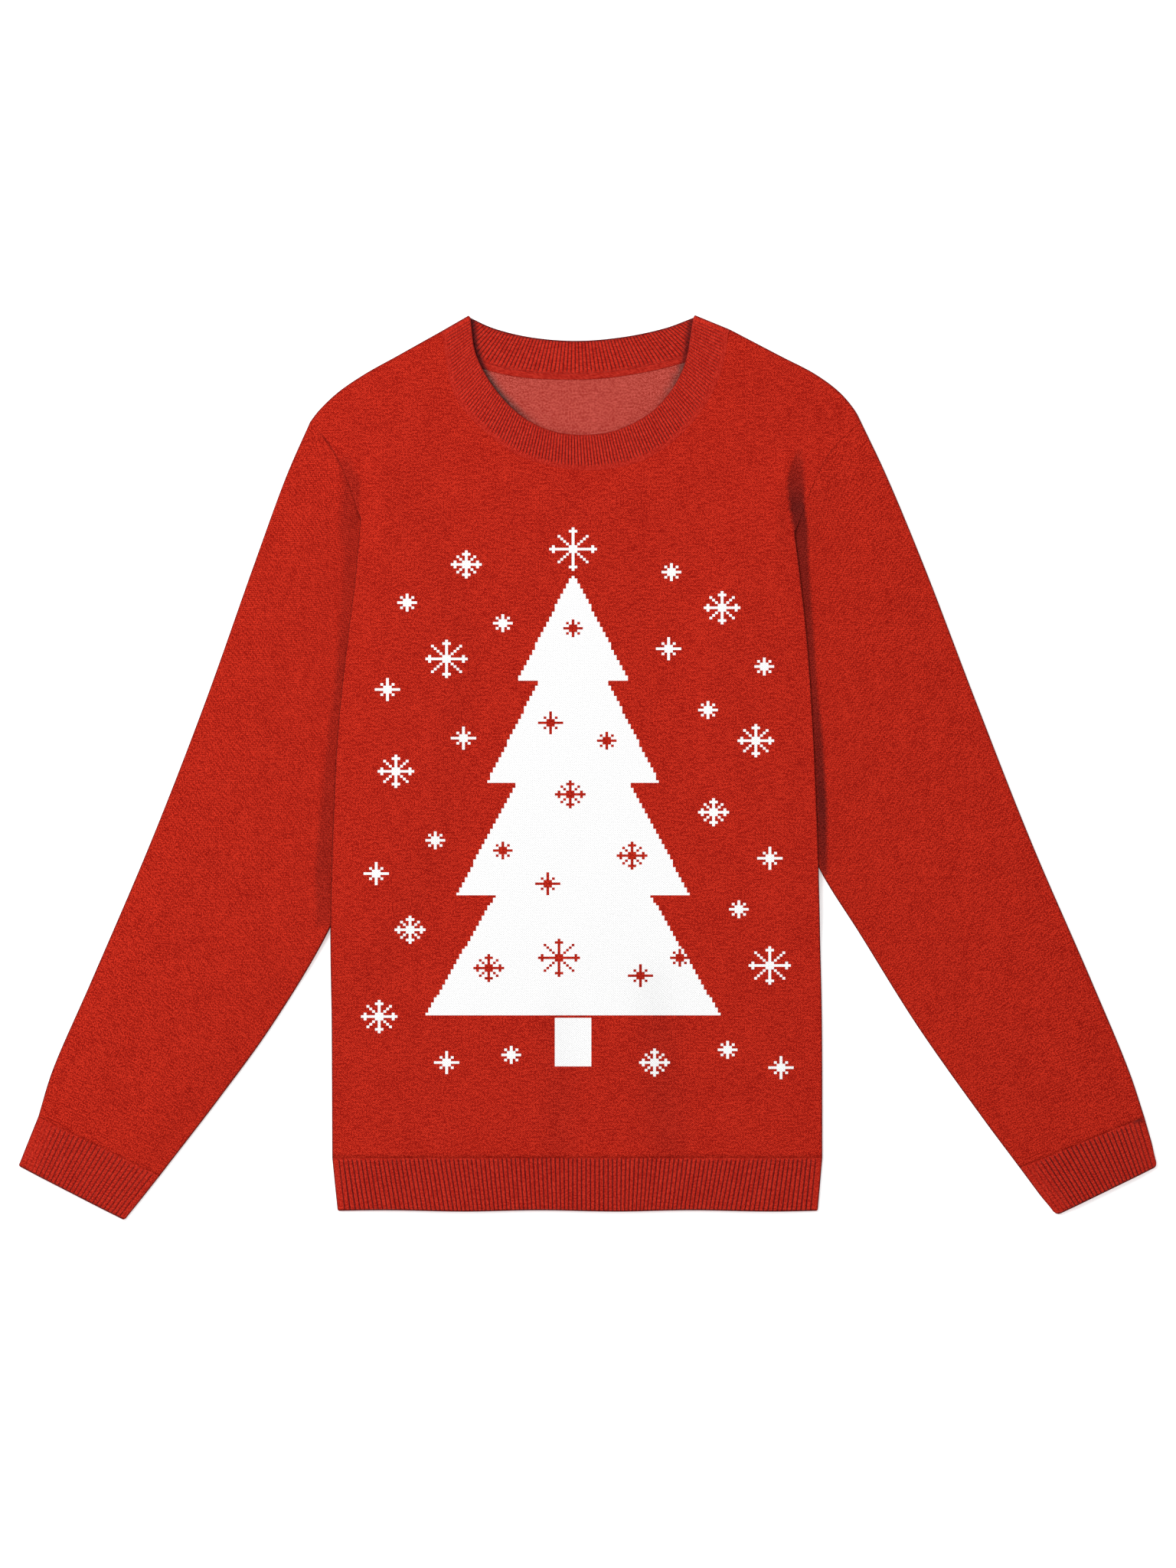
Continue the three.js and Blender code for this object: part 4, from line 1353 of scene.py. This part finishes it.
@dataclass
class Sleeve:
    """A set-in sleeve: a flattened tube whose underarm fold is pleated in behind the body's edge."""

    side: Side
    top_columns: int = 72
    under_columns: int = 28
    rings: int = 186
    seam_rings: tuple[float, ...] = (0, 0.0002, 0.0012, 0.003)
    cap_fade: float = 0.3
    loft_start: float = 0.15
    join_fade: float = 0.07
    join_reach: float = 34.0

    def build(self, finishes: Finishes) -> bpy.types.Object:
        """Args:
            finishes: the sweater's materials.

        Returns:
            The piece.
        """
        lines = LINES[self.side]
        seam = SmoothLine(offset_line(lines.armhole(40, 30), -lines.side.inward * SEAM / 2))
        shares_top = np.linspace(0, 1, self.top_columns + 1)
        shares_under = np.linspace(1, 0, self.under_columns + 1)
        none = np.zeros(len(shares_under))
        tube = Tube()
        for v in [*self.seam_rings, *np.linspace(0, 1, self.rings + 1)[1:]]:
            line = self.ring_line(lines, seam, shares_top, v)
            under_line = self.ring_line(lines, seam, shares_under, v)
            _, height = self.heights(line, shares_top, v)
            lift, _ = self.heights(under_line, shares_under, v)
            to_seam = v * lines.outer.length
            seam_depth, seam_shade = armhole_seam(line, np.array(to_seam))
            height = height + self.join(line, shares_top, to_seam) - seam_depth
            shade = np.maximum(tuck_shadow(line), seam_shade)
            outward = (unit(line[0] - line[1]), unit(line[-1] - line[-2]))
            top = Layer(line, height, np.zeros(len(line)), shade)
            tube.add_ring(top, Layer(under_line, lift, none, none), outward, to_seam)
        label = self.side.label
        piece = make_cloth(f"sleeve_{label}_cloth", tube.laid((0.1, 0.1)), True, [finishes.sleeve])
        finish_piece(piece, f"sleeve_{label}")
        return piece

    def from_outside(self, u: np.ndarray) -> np.ndarray:
        """Shares from the outer fold to the underarm fold."""
        return u if self.side is Side.LEFT else 1 - u

    def ring_line(self, lines: SideLines, seam: SmoothLine, u: np.ndarray, v: float) -> np.ndarray:
        """One layer's line of a ring; the rings near the armhole follow its curve.

        Args:
            lines: this side's shared lines.
            seam: the armhole seam.
            u: shares across, from the left fold to the right one.
            v: share down the sleeve.

        Returns:
            Places of the columns.
        """
        share = self.from_outside(u)
        radius = LAID_HEIGHT / 2
        run = radius / seam.length
        start, end = seam.at([run, 1 - run])
        outer = lines.outer.at([v])[0]
        inner = lines.underarm.at([v])[0]
        way = unit(inner - outer)
        cap = float(np.clip(1 - v / self.cap_fade, 0, 1)) ** 2
        first = lerp(outer + way * radius, start + outer - seam.points[0], cap)
        last = lerp(inner - way * radius, end + inner - seam.points[-1], cap)
        bulge = seam.at(lerp(run, 1 - run, share)) - lerp(start, end, share[:, None])
        return lerp(first, last, share[:, None]) + bulge * cap

    def join(self, line: np.ndarray, u: np.ndarray, to_seam: float) -> np.ndarray:
        """How far the top rises beside the seam to meet the front, which is lifted by the tuck.

        Args:
            line: places of the columns.
            u: shares across, from the left fold to the right one.
            to_seam: distance of the ring from the seam, in millimetres.

        Returns:
            Rise of each column in millimetres.
        """
        share = self.from_outside(u)
        distance = nearest_tuck(line)
        step = COVER_LIFT * lift_share(distance, FRONT_REACH) - TUCK_LIFT * lift_share(distance, SLEEVE_REACH)
        lines = LINES[self.side]
        end = lines.seen.length / (lines.seen.length + lines.tucked.length) - 0.004
        step = step * (1 - smooth(end - self.join_fade, end, share))
        return step * (1 - smooth(0, self.join_reach, to_seam))

    def heights(self, line: np.ndarray, u: np.ndarray, v: float) -> tuple[np.ndarray, np.ndarray]:
        """Underside and top of the sleeve along one line.

        Args:
            line: places of the columns.
            u: shares across, from the left fold to the right one.
            v: share down the sleeve.

        Returns:
            Height of the underside and of the top in millimetres.
        """
        share = self.from_outside(u)
        distance = nearest_tuck(line)
        lift = TUCK_LIFT * lift_share(distance, SLEEVE_REACH)
        margin = SLEEVE_LOFT_MARGIN
        middle = smooth(0, margin, share) * smooth(0, margin, 1 - share)
        run = np.clip(share / 0.5, 0, 1)
        loft = lerp(ARMHOLE_LOFT * 4 * run * (1 - run), SLEEVE_LOFT * middle, smooth(0, self.loft_start, v))
        is_open = smooth(SLEEVE_OPEN[0], SLEEVE_OPEN[1], distance)
        return lift, lift + LAID_HEIGHT + (loft + ripple(line) * middle) * is_open


# Lean of the hem's ribs: share across the hem, sideways shift of the rib's free end in millimetres
HEM_LEAN = [
    (0.0, 0.0), (0.03, 2.6), (0.1, 3.6), (0.23, 4.5), (0.31, 2.8), (0.43, 1.2), (0.49, -0.4), (0.58, 0.3),
    (0.63, -1.7), (0.66, -3.3), (0.75, -4.4), (0.82, -5.9), (0.9, -3.9), (0.98, -1.2), (1.0, 0.0),
]
NO_LEAN = [(0.0, 0.0), (1.0, 0.0)]


@dataclass
class RibbedBand:
    """A ribbed band that ends a tube, with round ribs on the face that shows."""

    name: str
    node: str
    start: tuple[np.ndarray, np.ndarray]
    end: tuple[np.ndarray, np.ndarray]
    ribs: int
    loft_margin: float
    loft: float
    flat: tuple[float, float]
    corners: tuple[float, float]
    lean: list[tuple[float, float]]
    wave: float = 0.0
    faint: tuple[float, float] = (1.0, 1.0)
    full: float = 1.0
    seam_gap: tuple[float, float] | None = None
    GAP_SIZE: ClassVar[tuple[float, float]] = (7.0, 2.6)
    rows: tuple[float, ...] = (
        0, 0.012, 0.03, 0.06, 0.1, 0.16, 0.25, 0.35, 0.45, 0.55, 0.65, 0.75, 0.84, 0.9, 0.94, 0.97, 0.988, 1,
    )

    def build(self, finishes: Finishes) -> bpy.types.Object:
        """Args:
            finishes: the sweater's materials.

        Returns:
            The piece.
        """
        relief, groove = rib_profile(self.ribs, 0.66)
        u = np.linspace(0, 1, len(relief))
        under_u = np.linspace(1, 0, self.ribs + 1)
        none = np.zeros(len(under_u))
        margin = self.loft_margin
        loft = self.loft * smooth(0, margin, u) * smooth(0, margin, 1 - u)
        strength = lerp(self.faint[0], self.faint[1], u)
        strength = lerp(strength, self.full, smooth(0.05, 0.2, np.minimum(u, 1 - u)))
        strength = strength * smooth(0, 0.012, u) * smooth(0, 0.012, 1 - u)
        begin = 0.004 + 0.014 * np.sin(2 * np.pi * (1.3 * u + 0.12)) + 0.008 * np.sin(2 * np.pi * 4.1 * u)
        depth = float(np.linalg.norm(self.end[0] - self.start[0]))
        tube = Tube()
        for across in self.rows:
            left = lerp(self.start[0], self.end[0], across)
            right = lerp(self.start[1], self.end[1], across)
            way = unit(right - left)
            left = left + way * LAID_HEIGHT / 2
            right = right - way * LAID_HEIGHT / 2
            lines = [self.line(left, right, shares, across) for shares in (u, under_u)]
            rise = strength * smooth(-0.015, 0.03, across - begin)
            shade = np.maximum(GROOVE_SHADE * groove * rise, RIM_SHADE * smooth(0.975, 1.0, across))
            if self.seam_gap is not None:
                off = (lines[0] - self.seam_gap) / self.GAP_SIZE
                shade = np.maximum(shade, SEAM_GAP_SHADE * np.exp(-np.sum(off ** 2, axis=1)))
            top = Layer(lines[0], LAID_HEIGHT + loft, RIB_RELIEF * relief * rise, shade)
            tube.add_ring(top, Layer(lines[1], none, none, none), (-way, way), across * depth)
        piece = make_cloth(self.name, tube.laid((0.0, 0.5), self.round_corners), True, [finishes.rib])
        finish_piece(piece, self.node)
        return piece

    def line(self, left: np.ndarray, right: np.ndarray, u: np.ndarray, across: float) -> np.ndarray:
        """One layer's line of a ring, with the ribs' lean and the end's waves.

        Args:
            left: the line's left end.
            right: the line's right end.
            u: shares across.
            across: share from the seam to the free end.

        Returns:
            Places of the columns.
        """
        line = lerp(left[None], right[None], u[:, None])
        line[:, 0] += np.interp(u, *np.array(self.lean).T) * across
        line[:, 1] += self.wave * across * np.sin(6 * np.pi * u)
        return line

    def round_corners(self, points: np.ndarray) -> np.ndarray:
        """Rounds the two corners of the free end.

        Args:
            points: all rings of one face, as rings, columns and x, y, z.

        Returns:
            The moved points.
        """
        way = unit(self.end[1] - self.end[0])
        down = unit(self.end[0] + self.end[1] - self.start[0] - self.start[1])
        moved = points.copy()
        width = float(np.linalg.norm(self.end[1] - self.end[0]))
        for ring, across in zip(moved, self.rows):
            middle = (lerp(self.start[0], self.end[0], across) + lerp(self.start[1], self.end[1], across)) / 2
            half = lerp(float(np.linalg.norm(self.start[1] - self.start[0])), width, across) / 2
            place = (ring[:, :2] - middle) @ way
            for radius, distance in zip(self.corners, (half + place, half - place)):
                missing = np.clip(radius - distance, 0, radius)
                short = radius - np.sqrt(radius ** 2 - missing ** 2)
                ring[:, :2] -= down * (short * smooth(0.5, 1.0, across))[:, None]
        return moved


@dataclass
class Collar:
    """The collar: a flattened ring of ribs that fan out, with a plain linking band at the seam."""

    rows: tuple[float, ...] = (
        0, 0.004, 0.02, 0.05, 0.1, 0.145, 0.165, 0.185, 0.21, 0.26,
        0.34, 0.44, 0.54, 0.64, 0.74, 0.84, 0.92, 0.965, 1,
    )
    stand_margin: float = 0.12
    link: float = 0.165

    def build(self, finishes: Finishes) -> bpy.types.Object:
        """Args:
            finishes: the sweater's materials.

        Returns:
            The piece.
        """
        front = (SmoothLine(COLLAR_FRONT_SEAM), SmoothLine(COLLAR_FRONT_EDGE))
        back = (SmoothLine(COLLAR_BACK_SEAM), SmoothLine(COLLAR_BACK_EDGE))
        relief, groove = rib_profile(COLLAR_FRONT_RIBS, 0.75)
        back_relief, back_groove = rib_profile(COLLAR_BACK_RIBS, 0.66)
        u = np.linspace(0, 1, len(relief))
        back_u = np.linspace(1, 0, len(back_relief))
        near_fold = np.minimum(u, 1 - u)
        low = smooth(0.12, 0.3, near_fold)
        bare = smooth(0, 0.01, near_fold)
        back_bare = smooth(0, 0.015, np.minimum(back_u, 1 - back_u))
        tube = Tube()
        for across in self.rows:
            line = lerp(front[0].at(u), front[1].at(u), across)
            back_line = lerp(back[0].at(back_u), back[1].at(back_u), across)
            stand = COLLAR_STAND * across * smooth(0, self.stand_margin, near_fold)
            near_edge = 1 - 0.5 * smooth(0.95, 1.0, across)
            front_start = smooth(0.03, 0.2, across)
            rise = smooth(0.12, 0.26, across) * near_edge
            band = LINK_RELIEF * math.sin(math.pi * min(across / self.link, 1.0))
            stitch = math.exp(-(((across - self.link) / 0.015) ** 2))
            seam = math.exp(-((across / 0.02) ** 2))
            rim = RIM_SHADE * float(smooth(0.95, 1.0, across))
            front_rise = front_start * near_edge * (0.7 + 0.3 * low) * bare
            # Painted groove shade on the ribs; on the plain linking band, painted darkening back to the
            # body's tone
            shade = np.maximum(GROOVE_SHADE * groove * front_rise, FRONT_LINK_SHADE * (1 - front_start))
            shade = np.maximum(shade, 0.4 * rim)
            front_rib = RIB_RELIEF * relief * front_rise + 0.2 * band * bare
            top = Layer(line, COLLAR_HEIGHT + stand, front_rib, shade)
            back_rise = rise * back_bare
            plain_shade = max(0.42 * stitch, 0.4 * seam, rim, BACK_LINK_SHADE * (1 - rise))
            back_shade = np.maximum(GROOVE_SHADE * back_groove * back_rise, plain_shade)
            back_shade = np.maximum(back_shade, 1.15 * neck_shadow(back_line))
            back_rib = RIB_RELIEF * back_relief * back_rise + band * back_bare
            under = Layer(back_line, np.zeros(len(back_u)), back_rib, back_shade)
            tube.add_ring(top, under, (collar_outward(0), collar_outward(-1)), across * COLLAR_DEPTH)
        piece = make_cloth("collar_cloth", tube.laid((0.0, 0.5)), True, [finishes.collar])
        finish_piece(piece, "collar")
        return piece


def hem_band() -> RibbedBand:
    """The hem rib.

    Returns:
        The band, not yet built.
    """
    ends = [Side.LEFT.edge(BODY_SIDE)[-1], Side.RIGHT.edge(BODY_SIDE)[-1]]
    return RibbedBand(
        name="hem_cloth",
        node="hem_rib",
        start=(ends[0] - (0, SEAM), ends[1] - (0, SEAM)),
        end=(np.array(HEM_END[Side.LEFT]), np.array(HEM_END[Side.RIGHT])),
        ribs=HEM_RIBS,
        loft_margin=LOFT_MARGIN / 384,
        loft=BODY_LOFT,
        flat=(0.768, 0.041),
        corners=(0.8, 0.8),
        lean=HEM_LEAN,
        wave=0.5,
    )


def cuff_band(side: Side) -> RibbedBand:
    """The cuff of one sleeve.

    Args:
        side: the sleeve's side.

    Returns:
        The band, not yet built.
    """
    lines = LINES[side]
    starts = [lines.outer.points[-1], lines.underarm.points[-1]]
    ends = [np.array(CUFF_OUTER_END[side]), np.array(CUFF_INNER_END[side])]
    starts = [start + unit(end - start) * SEAM for start, end in zip(starts, ends)]
    if side is Side.RIGHT:
        starts, ends = starts[::-1], ends[::-1]
    return RibbedBand(
        name=f"cuff_{side.label}_cloth",
        node=f"cuff_{side.label}",
        start=(starts[0], starts[1]),
        end=(ends[0], ends[1]),
        ribs=CUFF_RIBS,
        loft_margin=SLEEVE_LOFT_MARGIN,
        loft=SLEEVE_LOFT,
        flat=(0.19, 0.042),
        corners=(1.0, 1.4) if side is Side.LEFT else (4.8, 4.4),
        lean=NO_LEAN,
        faint=(0.25, 0.78) if side is Side.LEFT else (0.4, 0.8),
        full=0.8 if side is Side.LEFT else 1.0,
        seam_gap=(429.5, -276.0) if side is Side.RIGHT else None,
    )


@dataclass
class Studio:
    """Pale floor, soft light and a camera straight above, framed as the photograph."""

    field_height: float = 1.2288
    centre: tuple[float, float] = (-0.0003, -0.0129)
    distance: float = 5.0
    world_light: float = 0.54
    key_power: float = 74
    fill_power: float = 4

    def build(self) -> None:
        """Makes the floor, the lights and the camera."""
        scene = bpy.context.scene
        scene.view_settings.view_transform = "Standard"
        world = bpy.data.worlds.new("soft_white")
        world.use_nodes = True
        world.node_tree.nodes["Background"].inputs["Color"].default_value = (1, 1, 1, 1)
        world.node_tree.nodes["Background"].inputs["Strength"].default_value = self.world_light
        scene.world = world
        self.floor()
        self.light("key", (-1.4, 1.1, 2.6), 1.8, self.key_power)
        self.light("fill", (1.8, -1.2, 2.8), 2.4, self.fill_power)
        camera = bpy.data.objects.new("camera", bpy.data.cameras.new("camera"))
        scene.collection.objects.link(camera)
        camera.location = (*self.centre, self.distance)
        camera.data.sensor_fit = "VERTICAL"
        camera.data.angle = 2 * math.atan(self.field_height / 2 / self.distance)
        camera.data.clip_end = 50
        scene.camera = camera

    @staticmethod
    def floor() -> None:
        """The pale floor under the garment."""
        sheet = bmesh.new()
        bmesh.ops.create_grid(sheet, x_segments=1, y_segments=1, size=4)
        bmesh.ops.translate(sheet, verts=sheet.verts, vec=(0, 0, -0.0004))
        mesh = bpy.data.meshes.new("floor")
        sheet.to_mesh(mesh)
        sheet.free()
        material = bpy.data.materials.new("pale_floor")
        material.use_nodes = True
        shader = material.node_tree.nodes["Principled BSDF"]
        shader.inputs["Base Color"].default_value = (0.98, 0.98, 0.98, 1)
        shader.inputs["Roughness"].default_value = 1.0
        shader.inputs["Specular IOR Level"].default_value = 0.0
        shader.inputs["Emission Color"].default_value = (1, 1, 1, 1)
        shader.inputs["Emission Strength"].default_value = 0.4
        mesh.materials.append(material)
        floor = bpy.data.objects.new("floor", mesh)
        bpy.context.scene.collection.objects.link(floor)

    @staticmethod
    def light(name: str, place: tuple[float, float, float], size: float, power: float) -> None:
        """A soft square light that looks at the garment.

        Args:
            name: the light's name.
            place: where it hangs, in metres.
            size: its side in metres.
            power: its power in watts.
        """
        lamp = bpy.data.lights.new(name, "AREA")
        lamp.size = size
        lamp.energy = power
        holder = bpy.data.objects.new(name, lamp)
        bpy.context.scene.collection.objects.link(holder)
        holder.location = place
        holder.rotation_euler = (-holder.location).to_track_quat("-Z", "Y").to_euler()


def main() -> None:
    """Builds the studio and every piece of the sweater."""
    logging.basicConfig(level=logging.INFO)
    Studio().build()
    finishes = Finishes.build()
    BackPanel().build(finishes)
    for side in Side:
        Sleeve(side).build(finishes)
        cuff_band(side).build(finishes)
    FrontPanel().build(finishes)
    hem_band().build(finishes)
    Collar().build(finishes)


if __name__ == "__main__":
    main()
